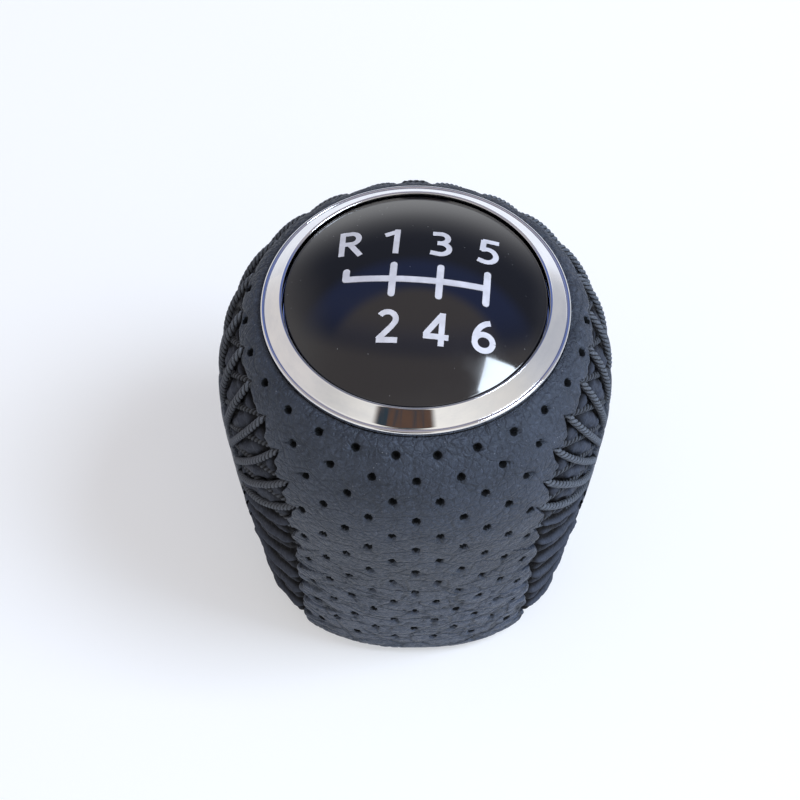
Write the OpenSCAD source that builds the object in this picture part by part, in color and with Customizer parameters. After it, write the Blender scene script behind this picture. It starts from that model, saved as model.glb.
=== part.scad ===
// Manual gear shift knob: a moulded core in a laced leather cover, with a bright trim
// ring and a domed cap that carries the shift pattern. Millimetres. +Z is up, -Y faces
// the driver, and the origin is the centre of the base, on the surface it stands on.

/* [Body] */
// Height of the trim ring's outer edge above the base
ring_edge_h = 50; // [48:0.5:54]
// Widest diameter of the leather body
body_d = 48.3; // [47:0.1:51]
// Height of the widest section
widest_h = 35; // [32:0.5:37]
// Diameter of the body just above its rounded base edge
base_d = 41.5; // [40:0.1:45]
// Radius of the rounded base edge
base_round = 2.4; // [2:0.1:3]
// Squareness of the plan at the base, where 2 is a circle
base_square = 2.4; // [2:0.05:2.7]
// Gap between the leather and the surface that the knob stands on
hem_lift = 0.3; // [0.2:0.05:0.5]

/* [Leather] */
// Thickness of the front and rear panels
leather_t = 1.2; // [1:0.05:1.4]
// Thickness of the thin strip under the lacing
strip_t = 0.8; // [0.6:0.05:1]
// Depth of the strip's face below the panels' face
strip_depth = 2.2; // [2:0.05:2.4]
// Width of the leather hem turned under the base
hem_w = 3; // [2.5:0.1:3.5]
// Clearance between leather and the moulded core
glue_gap = 0.1; // [0.05:0.01:0.15]

/* [Perforation] */
// Diameter of a punched hole
hole_d = 1; // [0.8:0.05:1.2]
// Holes in one row round the body
holes_round = 27; // [24:1:30]
// Height of one full step of the staggered pattern
hole_rise = 6.2; // [5.6:0.1:7]
// Distance kept free of holes along a seam
hole_margin = 1.9; // [1.6:0.1:3]

/* [Lacing] */
// Diameter of the thread
thread_d = 0.8; // [0.6:0.05:0.85]
// Stitches on each side of the body
stitches = 18; // [14:1:20]
// Width of the notch that a stitch pulls in the panel edge
notch_w = 1.7; // [1.4:0.1:2]

/* [Trim ring] */
// Outer diameter of the ring
ring_d = 36.4; // [35.6:0.1:37]
// Inner diameter of the ring
ring_bore_d = 31.3; // [30.8:0.1:31.8]
// Rise of the ring from its outer edge to its inner edge
ring_rise = 1.45; // [1:0.05:2]
// Height of the outer lip
lip_h = 0.7; // [0.5:0.05:0.9]
// Number of the ring's clips
ring_clips = 3; // [3:1:4]

/* [Cap] */
// Radius of the cap's domed face
dome_r = 36; // [32:1:44]
// Thickness of the cap
cap_t = 1.6; // [1.2:0.1:2]
// Radius of the cap's rounded rim
cap_round = 0.5; // [0.3:0.05:0.7]
// Gap between the cap and the ring
cap_gap = 0.2; // [0.1:0.05:0.3]
// Number of the cap's clips
cap_clips = 4; // [3:1:4]
// Turn of the cap about the knob's axis
cap_turn = -4.6; // [-10:0.1:10]
// Distance between two columns of the shift pattern
gate_pitch = 5.45; // [5:0.05:5.8]
// Length of a gate line
gate_len = 5; // [4:0.1:6]
// Width of a printed line
gate_line = 0.82; // [0.6:0.02:1]
// Thickness of the print
print_t = 0.08; // [0.05:0.01:0.15]

/* [Lever fitting] */
// Bore for the gear lever
lever_bore_d = 12.1; // [11.5:0.1:12.5]
// Depth of the lever bore
lever_bore_h = 36; // [30:1:37]
// Wall of the lever sleeve
sleeve_wall = 2.1; // [1.8:0.1:2.3]
// Diameter over the sleeve's ribs
rib_d = 21.6; // [21:0.1:22.5]
// Width of a slot in the sleeve's gripping fingers
finger_slot = 1.5; // [1:0.1:2]
// Height of the gripping fingers
finger_h = 12; // [10:0.5:13]
// Thickness of the grip spring
spring_t = 0.8; // [0.6:0.05:0.9]
// Height of the grip spring
spring_h = 4; // [3:0.1:5]
// Thickness of the base collar
collar_t = 1.5; // [1.2:0.1:1.8]
// Height of the collar's skirt
skirt_h = 5; // [4:0.1:6]
// Running and press-in clearance between moulded pieces
fit = 0.1; // [0.05:0.01:0.15]

/* [Hidden] */
$fn = 64;
columns = 32;
low_rows = 3;
top_rows = 4;
// How far the panel cuts reach beyond the body
far = 4;
widest_r = body_d / 2;
base_r = base_d / 2;
ring_r = ring_d / 2;
ring_bore_r = ring_bore_d / 2;
// The leather is straight above this height and turns under the base below it
round_h = hem_lift + base_round;
hem_r = base_r - base_round - hem_w;
leather_top = ring_edge_h - lip_h - fit;
shoulder_h = leather_top - widest_h;
// How far the crown's leather stands out past the ring, and how far it tucks in under it
crown_out = 0.4;
crown_in = 1.2;
shoulder_r = ring_r + crown_out;
tuck_r = ring_r - crown_in;
square_h = 45;
taper_power = 1.3;
crown_power = 1.25;
rise_power = 0.91;
core_depth = leather_t + glue_gap;
seat_h = leather_top - leather_t - glue_gap;
sight = [0, 0, ring_edge_h / 2];

// Seams from the base up over the shoulder to the back, for one side: the angle and the
// place along the profile of the front panel's edge, and the same for the rear panel's
seam_ctrl = [
    [41, 0, 74, 0],
    [39, 0.23, 73, 0.21],
    [38, 0.47, 70.5, 0.42],
    [37.5, 0.72, 67, 0.62],
    [37.5, 0.94, 64.5, 0.78],
    [41, 1.18, 65, 0.9],
    [50, 1.43, 69, 1],
    [66, 1.58, 77, 1.1],
    [85, 1.65, 91, 1.2],
    [108, 1.7, 110, 1.27],
    [132, 1.74, 133, 1.32],
    [156, 1.76, 156, 1.34],
    [180, 1.77, 180, 1.35]];
seam_last = len(seam_ctrl) - 1;

// Profile of the body: radius and height, where 0 is the base, 1 the widest section and
// 2 the shoulder's top at the ring
function profile(u) = u <= 1
    ? [widest_r - (widest_r - base_r) * pow(max(0, 1 - u), taper_power),
       round_h + (widest_h - round_h) * u]
    : [shoulder_r + (widest_r - shoulder_r) * pow(cos(90 * (u - 1)), crown_power),
       widest_h + shoulder_h * pow(sin(90 * (u - 1)), rise_power)];
function along(u) = profile(min(2, u + 0.02)) - profile(max(0, u - 0.02));
function outward(u) = [along(u)[1], -along(u)[0]] / norm(along(u));
// A point of the profile, moved in by a depth
function skin(u, depth) = profile(u) - depth * outward(u);
// How far the plan bulges beyond a circle at an angle
function plan_power(h) = 2 + (base_square - 2) * max(0, 1 - h / square_h);
function bulge(angle, p) = pow(pow(abs(cos(angle)), p) + pow(abs(sin(angle)), p), -1 / p);
function spread(angle, q) = 1 + (bulge(angle, plan_power(q[1])) - 1)
    * min(1, max(0, (q[0] - hem_r) / hem_w));
function place(angle, q) = [q[0] * spread(angle, q) * sin(angle),
    -q[0] * spread(angle, q) * cos(angle), q[1]];
function on_body(angle, u, depth) = place(angle, skin(u, depth));

// Outline of the leather's section at a depth, from the hem up to the tuck under the ring
// A deep section leaves out the shoulder's last row, where the turn is sharper than the depth
function outline(base_depth, depth) = concat(
    [[hem_r, hem_lift + base_depth]],
    [for (a = [-90 : 45 : -45])
        [base_r - base_round + (base_round - base_depth) * cos(a),
         round_h + (base_round - base_depth) * sin(a)]],
    [skin(0, base_depth)],
    base_depth == depth ? [] : [skin(first_stitch_u, depth)],
    [for (i = [1 : low_rows]) skin(i / low_rows, depth)],
    [for (i = [1 : depth < strip_depth ? top_rows : top_rows - 1]) skin(1 + i / top_rows, depth)],
    [[tuck_r, leather_top - depth]]);
first_stitch_u = 0.06;
function reversed(list) = [for (i = [len(list) - 1 : -1 : 0]) list[i]];

// Closed ring of skin between two outlines
module skin_ring(outer, inner) {
    loop = concat(outer, reversed(inner));
    n = len(loop);
    points = [for (c = [0 : columns - 1]) for (q = loop) place(c * 360 / columns, q)];
    faces = [for (c = [0 : columns - 1]) for (k = [0 : n - 1]) for (half = [0, 1])
        let (a = c * n + k, b = c * n + (k + 1) % n,
             next = ((c + 1) % columns) * n, d = next + k, e = next + (k + 1) % n)
        half == 0 ? [a, b, e] : [a, e, d]];
    polyhedron(points, faces);
}

// Solid inside an outline, closed flat at the bottom and the top
module skin_solid(edge) {
    n = len(edge);
    ring = [for (c = [0 : columns - 1]) for (q = edge) place(c * 360 / columns, q)];
    low = columns * n;
    points = concat(ring, [[0, 0, edge[0][1]], [0, 0, edge[n - 1][1]]]);
    side = [for (c = [0 : columns - 1]) for (k = [0 : n - 2]) for (half = [0, 1])
        let (a = c * n + k, b = a + 1, next = ((c + 1) % columns) * n, d = next + k, e = d + 1)
        half == 0 ? [a, b, e] : [a, e, d]];
    ends = [for (c = [0 : columns - 1]) for (half = [0, 1])
        let (a = c * n, next = ((c + 1) % columns) * n)
        half == 0 ? [low, a, next] : [low + 1, next + n - 1, a + n - 1]];
    polyhedron(points, concat(side, ends));
}

// A point between the front edge, 0, and the rear edge, 1, at a place along the seam
function spline(i, f) = let (
    a = seam_ctrl[max(i - 1, 0)], b = seam_ctrl[i],
    c = seam_ctrl[i + 1], d = seam_ctrl[min(i + 2, seam_last)])
    (2 * b + (c - a) * f + (2 * a - 5 * b + 4 * c - d) * f * f
     + (3 * b - a - 3 * c + d) * f * f * f) / 2;
function seam_row(v) = let (i = max(0, min(seam_last - 1, floor(v)))) spline(i, v - i);
function seam(v, w) = let (r = seam_row(v))
    [r[0] + (r[2] - r[0]) * w, r[1] + (r[3] - r[1]) * w];
function on_seam(v, w, depth) = let (s = seam(v, w)) on_body(s[0], s[1], depth);

// Everything that lies in front of a line along the seam, seen from inside the body
module front_of(w) {
    base = seam(0, w)[0];
    corner = [hem_r / 2 * sin(base), -hem_r / 2 * cos(base), -1];
    right = concat([corner], [for (v = [0 : seam_last]) on_seam(v, w, 0)]);
    left = [for (i = [len(right) - 2 : -1 : 0]) [-right[i][0], right[i][1], right[i][2]]];
    edge = concat(right, left);
    n = len(edge);
    tip = sight + far * [0, -ring_edge_h / 2, ring_edge_h / 2.5];
    points = concat([sight, tip], [for (p = edge) sight + far * (p - sight)]);
    faces = [for (i = [0 : n - 1]) for (half = [0, 1])
        half == 0 ? [0, 2 + i, 2 + (i + 1) % n] : [1, 2 + (i + 1) % n, 2 + i]];
    polyhedron(points, faces);
}

// Puts a child on the body, with its Z along the outward normal
module stand_on(angle, u, depth) {
    n = outward(u);
    translate(on_body(angle, u, depth)) rotate([0, acos(n[1]), angle - 90]) children();
}

// Perforation: distance down the profile from the ring, and the test of each place
samples = 60;
lengths = [for (i = 0, s = 0; i <= samples;
    s = s + norm(profile(2 - 2 * i / samples) - profile(2 - 2 * (i + 1) / samples)), i = i + 1)
    [s, 2 - 2 * i / samples]];
profile_len = lengths[samples][0];
function edge_path(w) = [for (v = [0 : 0.25 : seam_last]) seam(v, w)];
front_edge = edge_path(0);
rear_edge = edge_path(1);
front_area = concat([[0, -1], [front_edge[0][0], -1]], front_edge,
    [[181, seam_ctrl[seam_last][1]], [181, 3], [0, 3]]);
rear_area = concat([[rear_edge[0][0], -1]], rear_edge, [[181, seam_ctrl[seam_last][3]], [181, -1]]);
function crosses(p, a, b) = (a[1] > p[1]) != (b[1] > p[1])
    && p[0] < a[0] + (b[0] - a[0]) * (p[1] - a[1]) / (b[1] - a[1]) ? 1 : 0;
function total(list) = list * [for (x = list) 1];
function inside(p, area) = total([for (i = [0 : len(area) - 1])
    crosses(p, area[i], area[(i + 1) % len(area)])]) % 2 == 1;
function reach(p, edge) = min([for (q = edge)
    norm(on_body(p[0], p[1], 0) - on_body(q[0], q[1], 0))]);
// Start of an even and of an odd column below the ring, as shares of a step
even_start = 0.8;
odd_start = 0.3;
ring_margin = 1.6;
base_margin = 0.6;
hole_places = [for (c = [0 : 2 * holes_round - 1]) for (k = [0 : ceil(profile_len / hole_rise)])
    let (angle = c * 180 / holes_round, turn = angle > 180 ? 360 - angle : angle,
         down = hole_rise * (k + (c % 2 == 0 ? even_start : odd_start)), u = lookup(down, lengths))
    if (down > ring_margin && down < profile_len - base_margin) [angle, u, turn]];
front_holes = [for (p = hole_places)
    if (inside([p[2], p[1]], front_area) && reach([p[2], p[1]], front_edge) > hole_margin) p];
rear_holes = [for (p = hole_places)
    if (inside([p[2], p[1]], rear_area) && reach([p[2], p[1]], rear_edge) > hole_margin) p];

module holes(list, sides, turn) {
    for (p = list)
        stand_on(p[0], p[1], leather_t / 2) rotate(turn)
            cylinder(h = 3 * leather_t, d = hole_d, center = true, $fn = sides);
}

// Notches that the stitches pull in a panel's edge: w is the edge, dir points into the panel
notch_reach = 0.07;
notch_past = 0.12;
function stitch_at(i) = (i + 0.5) * seam_last / stitches;
module notches(w, dir) {
    for (side = [0, 1]) mirror([side, 0, 0])
        for (i = [0 : stitches - 1]) {
            a = seam(stitch_at(i), w + dir * notch_reach);
            b = seam(stitch_at(i), w - dir * notch_past);
            hull() {
                stand_on(a[0], a[1], leather_t / 2)
                    cylinder(h = 3 * leather_t, d = notch_w, center = true, $fn = 4);
                stand_on(b[0], b[1], leather_t / 2)
                    cylinder(h = 3 * leather_t, d = notch_w, center = true, $fn = 4);
            }
        }
}

// Sides of a punched hole and its turn about its own axis, which keeps its flats clear of
// the facets' edges
front_sides = 5;
front_turn = 45;
rear_sides = 4;
rear_turn = 38;

module front_leather() {
    color([0.2, 0.21, 0.24])
    difference() {
        intersection() {
            skin_ring(outline(0, 0), outline(leather_t, leather_t));
            front_of(0);
        }
        holes(front_holes, front_sides, front_turn);
        notches(0, -1);
    }
}

module rear_leather() {
    color([0.18, 0.19, 0.22])
    difference() {
        skin_ring(outline(0, 0), outline(leather_t, leather_t));
        front_of(1);
        holes(rear_holes, rear_sides, rear_turn);
        notches(1, 1);
    }
}

// Strip of thin leather that lies in the core's trough under the lacing
strip_edge = 0.01;
strip_top = leather_t - strip_t;
module seam_strip() {
    color([0.13, 0.13, 0.15])
    difference() {
        intersection() {
            skin_ring(outline(strip_top, strip_depth), outline(leather_t, strip_depth + strip_t));
            front_of(1 - strip_edge);
        }
        front_of(strip_edge);
    }
}

// Thread bent in an arc from one point over a second to a third
module thread(a, b, c) {
    u = b - a;
    v = c - a;
    n = cross(u, v);
    centre = a + ((u * u) * cross(v, n) + (v * v) * cross(n, u)) / (2 * n * n);
    r = norm(a - centre);
    x = (a - centre) / r;
    z = n / norm(n);
    y = cross(z, x);
    translate(centre) rotate([atan2(y[2], z[2]), -asin(x[2]), atan2(x[1], x[0])])
        rotate_extrude(angle = acos(x * (c - centre) / r), $fn = 96)
            translate([r, 0]) circle(thread_d / 2, $fn = 16);
}
function flip(p) = [-p[0], p[1], p[2]];
// Depth of a thread's axis below the panels' face, at its ends and where it crosses the strip
thread_gap = 0.1;
under_ends = leather_t / 2;
over_ends = under_ends - thread_d - thread_gap;
under_middle = strip_depth - thread_d - thread_gap;
over_middle = under_middle - thread_d - 1.5 * thread_gap;
stitch_in = 0.04;
// Places across the strip where the under threads end and where the ties cross the back
under_in = 0.02;
under_tie = 0.12;
over_tie = 0.8;
function stitch(i, w, depth) = on_seam(stitch_at(i), w, depth);

module lacing_over() {
    last = stitch(stitches - 1, 1 + stitch_in, over_ends);
    color([0.3, 0.31, 0.34]) {
        for (side = [0, 1]) mirror([side, 0, 0])
            for (i = [0 : stitches - 2])
                thread(stitch(i, 1 + stitch_in, over_ends), stitch(i + 0.5, 0.5, over_middle),
                       stitch(i + 1, -stitch_in, over_ends));
        thread(last, on_seam(seam_last, over_tie, over_ends), flip(last));
    }
}

module lacing_under() {
    last = stitch(stitches - 1, under_in, under_ends);
    color([0.25, 0.26, 0.29]) {
        for (side = [0, 1]) mirror([side, 0, 0])
            for (i = [0 : stitches - 2])
                thread(stitch(i, under_in, under_ends), stitch(i + 0.5, 0.5, under_middle),
                       stitch(i + 1, 1 + stitch_in, under_ends));
        thread(last, on_seam(seam_last, under_tie, under_ends), flip(last));
    }
}

// Cap seat and clip sizes, shared by the core, the ring and the cap
ring_foot_w = 1.45;
ring_foot_r = ring_bore_r - ring_foot_w;
ring_foot_h = 1;
ring_top = ring_edge_h + ring_rise;
lip_z = ring_edge_h - lip_h;
foot_z = seat_h + fit / 2;
ledge_z = foot_z + ring_foot_h;
ring_wall_r = tuck_r - fit;
cap_r = ring_bore_r - cap_gap;
cap_sink = 0.45;
cap_edge_z = ring_top - cap_sink;
dome_centre = cap_edge_z - sqrt(dome_r * dome_r - cap_r * cap_r);
pocket_in = 0.3;
pocket_r = ring_foot_r - pocket_in;
pocket_h = 1.5;
clip_w = 4;
clip_t = 1.1;
clip_drop = 3.6;
barb = 0.5;
barb_h = 1.3;
barb_lead = 0.3;
clip_room = 3 * fit;
ring_clip_r = ring_foot_r + ring_foot_w / 2;
cap_clip_in = 1.8;
cap_clip_r = pocket_r - cap_clip_in;
leg_root = 1.3;
leg_overlap = 0.5;

// A clip leg that hangs from a height, with a barb on its outer side
module clip(r, top, drop) {
    translate([r, clip_w / 2, top]) rotate([90, 0, 0])
        linear_extrude(clip_w)
            polygon([[0, 0], [0, -drop], [clip_t * 0.6, -drop], [clip_t + barb, barb_h - drop - barb_lead],
                     [clip_t + barb, barb_h - drop], [clip_t, barb_h - drop], [clip_t, 0]]);
}
// The slot that takes it, undercut for the barb
module clip_slot(r, top, drop) {
    corner = [r - clip_room, -clip_w / 2 - clip_room, top - drop - clip_room];
    wide = clip_w + 2 * clip_room;
    translate(corner) cube([clip_t + 2 * clip_room, wide, drop + 2 * clip_room]);
    translate(corner) cube([clip_t + barb + 2 * clip_room, wide, barb_h + 2 * clip_room]);
}
module spaced(count, start) {
    for (i = [0 : count - 1]) rotate(start + i * 360 / count) children();
}

// Flat outer lip, fine groove, and a cone that rises to a narrow flat at the bore
lip_w = 0.45;
edge_break = 0.1;
groove = 0.06;
module trim_ring() {
    lip_in = ring_r - lip_w;
    color([0.82, 0.83, 0.85]) {
        rotate_extrude()
            polygon([[ring_foot_r, foot_z], [ring_wall_r, foot_z], [ring_wall_r, lip_z],
                     [ring_r - edge_break, lip_z], [ring_r, lip_z + edge_break],
                     [ring_r, ring_edge_h - edge_break], [ring_r - edge_break, ring_edge_h],
                     [lip_in + edge_break, ring_edge_h], [lip_in, ring_edge_h - groove],
                     [lip_in - edge_break, ring_edge_h + groove],
                     [ring_bore_r + 3 * edge_break, ring_top - edge_break],
                     [ring_bore_r + 2 * edge_break, ring_top],
                     [ring_bore_r + edge_break, ring_top], [ring_bore_r, ring_top - edge_break],
                     [ring_bore_r, ledge_z], [ring_foot_r, ledge_z]]);
        spaced(ring_clips, 90)
            clip(ring_clip_r, foot_z + ring_foot_h / 2, clip_drop + ring_foot_h / 2);
    }
}

module cap() {
    inner_r = cap_r - cap_t;
    rim_z = ledge_z + fit / 2;
    color([0.04, 0.04, 0.05])
    rotate(cap_turn) union() {
        rotate_extrude()
            difference() {
                union() {
                    intersection() {
                        translate([0, dome_centre]) circle(dome_r);
                        translate([0, rim_z]) square([cap_r - cap_round, dome_r]);
                    }
                    translate([cap_r - cap_round, cap_edge_z - cap_round]) circle(cap_round);
                    translate([inner_r, rim_z]) square([cap_t, cap_edge_z - cap_round - rim_z]);
                }
                intersection() {
                    translate([0, dome_centre]) circle(dome_r - cap_t);
                    square([inner_r, 2 * dome_r]);
                }
            }
        spaced(cap_clips, 45) cap_leg();
    }
}
// A leg of the cap, which grows out of the dome's underside
module cap_leg() {
    top = ledge_z + leg_root;
    clip(cap_clip_r, top, top - seat_h + pocket_h + clip_drop);
    intersection() {
        translate([cap_clip_r, -clip_w / 2, top - leg_overlap]) cube([clip_t, clip_w, dome_r]);
        translate([0, 0, dome_centre]) sphere(dome_r - cap_t / 2);
    }
}

// One line of the printed pattern, with round ends
module line(a, b) {
    d = b - a;
    translate(a) circle(d = gate_line);
    translate(b) circle(d = gate_line);
    translate(a) rotate(atan2(d[1], d[0])) translate([0, -gate_line / 2]) square([norm(d), gate_line]);
}
// Shift pattern of a six-speed box: reverse on a short stub and three gates
reverse_stub = 0.55;
module gate_print() {
    half = (gate_len - gate_line) / 2;
    color([0.85, 0.85, 0.88])
    rotate(cap_turn)
    intersection() {
        translate([0, 0, cap_edge_z])
            linear_extrude(dome_r / 2) {
                line([-1.5 * gate_pitch, 0], [1.5 * gate_pitch, 0]);
                line([-1.5 * gate_pitch, 0], [-1.5 * gate_pitch, reverse_stub * half]);
                for (i = [-0.5, 0.5, 1.5])
                    line([i * gate_pitch, -half], [i * gate_pitch, half]);
            }
        translate([0, 0, dome_centre]) difference() {
            sphere(dome_r + print_t);
            sphere(dome_r);
        }
    }
}

// Sizes of the sleeve and its cavity in the core
sleeve_z = collar_t + fit;
bore_r = lever_bore_d / 2;
tube_r = bore_r + sleeve_wall;
sleeve_end = 2.4;
sleeve_h = lever_bore_h + sleeve_end;
fingers = 3;
finger_turn = 30;
finger_root = 0.5;
flange_z = sleeve_z + finger_h + finger_root;
flange_out = 1.4;
flange_r = rib_d / 2 + flange_out;
flange_t = 1.6;
ribs = 6;
rib_w = 1.8;
rib_short = 1.5;
rib_z = flange_z + flange_t / 2;
rib_in = bore_r + sleeve_wall / 2;
rib_h = sleeve_z + sleeve_h - rib_z - rib_short;
spring_z = sleeve_z + 0.4 * finger_h;
spring_open = 40;
spring_turn = 110;
collar_lap = 1;
collar_chamfer = 0.4;
skirt_in = 0.7;
skirt_out_r = hem_r - skirt_in;
skirt_t = 1.1;
// How far a cut runs past the face it opens
past = 1;

// Sleeve that grips the lever: slotted fingers, a flange and ribs pressed into the core
module lever_sleeve() {
    color([0.25, 0.25, 0.26])
    difference() {
        union() {
            translate([0, 0, sleeve_z]) cylinder(h = sleeve_h, r = tube_r);
            translate([0, 0, flange_z]) cylinder(h = flange_t, r = flange_r);
            spaced(ribs, 0) translate([rib_in, -rib_w / 2, rib_z])
                cube([rib_d / 2 - rib_in, rib_w, rib_h]);
        }
        translate([0, 0, sleeve_z - past]) cylinder(h = lever_bore_h + past, r = bore_r);
        spaced(fingers, finger_turn) translate([0, -finger_slot / 2, sleeve_z - past])
            cube([2 * tube_r, finger_slot, finger_h + past]);
    }
}

// Open spring band that closes the fingers on the lever
module grip_spring() {
    color([0.6, 0.6, 0.62])
    translate([0, 0, spring_z])
        rotate(spring_turn) rotate_extrude(angle = 360 - spring_open)
            translate([tube_r + fit / 2, 0]) square([spring_t, spring_h]);
}

// Moulded ring that closes the underside inside the leather hem
module base_collar() {
    c = collar_chamfer;
    inner_r = tube_r - collar_lap;
    outer_r = hem_r - fit;
    skirt_in_r = skirt_out_r - skirt_t;
    top = collar_t + skirt_h;
    color([0.1, 0.1, 0.11])
    rotate_extrude()
        polygon([[inner_r + c, 0], [outer_r - c, 0], [outer_r, c], [outer_r, collar_t],
                 [skirt_out_r, collar_t], [skirt_out_r, top - c], [skirt_out_r - c, top],
                 [skirt_in_r, top], [skirt_in_r, collar_t], [inner_r, collar_t], [inner_r, c]]);
}

// Moulded body under the leather, with the lacing's trough and the seats of all it holds
module core() {
    cavity_h = sleeve_z + sleeve_h + fit;
    step_z = flange_z + flange_t + fit;
    color([0.33, 0.33, 0.34])
    difference() {
        skin_solid(outline(core_depth, core_depth));
        intersection() {
            skin_ring(outline(0, 0), outline(core_depth, strip_depth + strip_t + glue_gap));
            difference() {
                front_of(1);
                front_of(0);
            }
        }
        cylinder(h = step_z, r = flange_r + fit);
        cylinder(h = cavity_h, r = rib_d / 2 + fit);
        difference() {
            cylinder(h = collar_t + skirt_h + fit, r = skirt_out_r + fit);
            translate([0, 0, -past])
                cylinder(h = collar_t + skirt_h + 3 * past, r = skirt_out_r - skirt_t - fit);
        }
        translate([0, 0, seat_h - pocket_h]) cylinder(h = pocket_h + past, r = pocket_r);
        spaced(ring_clips, 90) clip_slot(ring_clip_r, foot_z, clip_drop);
        rotate(cap_turn) spaced(cap_clips, 45)
            clip_slot(cap_clip_r, seat_h - pocket_h + fit, clip_drop + fit);
    }
}

core();
lever_sleeve();
grip_spring();
base_collar();
seam_strip();
front_leather();
rear_leather();
lacing_under();
lacing_over();
trim_ring();
cap();
gate_print();
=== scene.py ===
# %% [markdown]
# A gear knob for a manual car: a moulded core in a laced leather cover, a bright trim ring
# and a gloss cap with the shift pattern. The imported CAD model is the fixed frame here. The
# core, the sleeve, the spring, the collar and the printed gate keep their CAD shapes and get
# finishes. The leather, the lacing, the ring and the cap are made again in finer detail,
# from the same sizes, because a camera comes close to them.

# %% Load the frame
import math

import bmesh
import bpy
import numpy as np
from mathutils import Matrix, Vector, noise


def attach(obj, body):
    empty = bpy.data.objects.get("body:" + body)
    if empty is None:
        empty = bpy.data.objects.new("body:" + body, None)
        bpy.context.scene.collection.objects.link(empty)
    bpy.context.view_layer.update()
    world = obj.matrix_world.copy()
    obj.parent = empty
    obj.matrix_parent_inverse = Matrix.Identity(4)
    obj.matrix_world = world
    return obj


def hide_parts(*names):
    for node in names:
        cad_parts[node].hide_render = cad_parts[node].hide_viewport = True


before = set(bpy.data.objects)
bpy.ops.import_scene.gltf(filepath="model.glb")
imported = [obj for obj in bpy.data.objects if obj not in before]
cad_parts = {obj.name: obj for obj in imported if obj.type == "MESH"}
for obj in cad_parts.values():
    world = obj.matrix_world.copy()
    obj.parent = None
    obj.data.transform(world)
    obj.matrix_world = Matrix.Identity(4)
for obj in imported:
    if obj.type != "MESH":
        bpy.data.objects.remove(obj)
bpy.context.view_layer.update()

MM = 0.001

# %% [markdown]
# The camera stands where the picture was taken from: in front of the knob and well above it,
# looking down at 56 degrees. Its place was worked out from the two ellipses that the trim
# ring's edges make in the picture. A long lens at some distance gives the mild perspective
# that the picture has.

# %% Camera
CAMERA_PLACE = Vector((-1.856, -132.2, 224.6)) * MM
CAMERA_TILT = math.radians(34.163)
SENSOR_W, LENS = 36, 84.0

camera_data = bpy.data.cameras.new("photo_camera")
camera_data.sensor_width = SENSOR_W
camera_data.lens = LENS
camera_data.clip_start = 10 * MM
camera = bpy.data.objects.new("photo_camera", camera_data)
bpy.context.scene.collection.objects.link(camera)
camera.location = CAMERA_PLACE
camera.rotation_euler = (CAMERA_TILT, 0, 0)
bpy.context.scene.camera = camera
print("camera is", round(camera.location.length / MM), "mm from the base")

# %% [markdown]
# Before anything is dressed, the leather body needs its surface. The CAD source draws it as a
# profile, from the base over the widest section to the ring, and a plan that is squarer at
# the base. The outer sizes are read off the CAD node. The sizes that no box shows, such as
# the round at the base, are written out as the CAD source has them.

# %% Sizes of the leather body, in millimetres
def node_box(name):
    """Lowest and highest corner of a CAD node, to a hundredth of a millimetre."""
    corners = np.array([corner[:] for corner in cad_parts[name].bound_box]) / MM
    return corners.min(axis=0).round(2).tolist(), corners.max(axis=0).round(2).tolist()


leather_low, leather_high = node_box("front_leather")
WIDEST_R, WIDEST_H = -leather_low[1], 35.0
LEATHER_TOP = leather_high[2]
HEM_LIFT, HEM_W = leather_low[2], 3.0
BASE_R, BASE_ROUND, BASE_SQUARE = 20.75, 2.4, 2.4
ROUND_H = HEM_LIFT + BASE_ROUND
HEM_R = BASE_R - BASE_ROUND - HEM_W
SHOULDER_R = 18.6
SQUARE_H = 45.0
print("body is", 2 * WIDEST_R, "mm wide at", WIDEST_H, "mm up, and its leather ends", LEATHER_TOP, "mm up")

# %% [markdown]
# A place on the body is an angle round it and a number u: 0 at the base, 1 at the widest
# section and 2 at the ring. Below 0 the leather turns under the base, and above 2 it runs in
# under the ring. The sums take whole arrays of places at a time, because a panel has tens of
# thousands of vertices.

# %% The body's profile
TURN_U, UNDER_U = -0.12, -0.3
TAPER_POWER, SHOULDER_POWER, RISE_POWER = 1.3, 1.25, 0.91
CROWN_RUN = 12


def profile(u):
    """Radius and height of the profile at each u."""
    low = np.clip(u, 0, 1)
    r = WIDEST_R - (WIDEST_R - BASE_R) * np.power(1 - low, TAPER_POWER)
    z = ROUND_H + (WIDEST_H - ROUND_H) * low
    quarter = np.radians(90 * np.clip(u - 1, 0, 1))
    narrowing = np.power(np.clip(np.cos(quarter), 0, 1), SHOULDER_POWER)
    r_high = SHOULDER_R + (WIDEST_R - SHOULDER_R) * narrowing - CROWN_RUN * np.clip(u - 2, 0, 1)
    z_high = WIDEST_H + (LEATHER_TOP - WIDEST_H) * np.power(np.sin(quarter), RISE_POWER)
    turn = np.radians(90 * np.clip(u / TURN_U, 0, 1))
    under = np.clip((TURN_U - u) / (TURN_U - UNDER_U), 0, 1)
    r_turn = BASE_R - BASE_ROUND + BASE_ROUND * np.cos(turn) - HEM_W * under
    z_turn = ROUND_H - BASE_ROUND * np.sin(turn)
    r = np.where(u > 1, r_high, np.where(u < 0, r_turn, r))
    z = np.where(u > 1, z_high, np.where(u < 0, z_turn, z))
    return r, z


print("radius at the base, the widest section and the ring:", *profile(np.arange(3.0))[0].round(2))

# %% [markdown]
# A profile that is only turned gives a round knob. This one is squarer at the base, so its
# radius also depends on the angle, by the formula of a superellipse, which is a circle when
# its power is 2. A point may lie below the leather's face. It is then moved in along the
# profile's normal, found from two places just before and just after it.

# %% Points on the body
HALF_STEP = 0.015
NORMAL_REACH = 0.5


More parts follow.
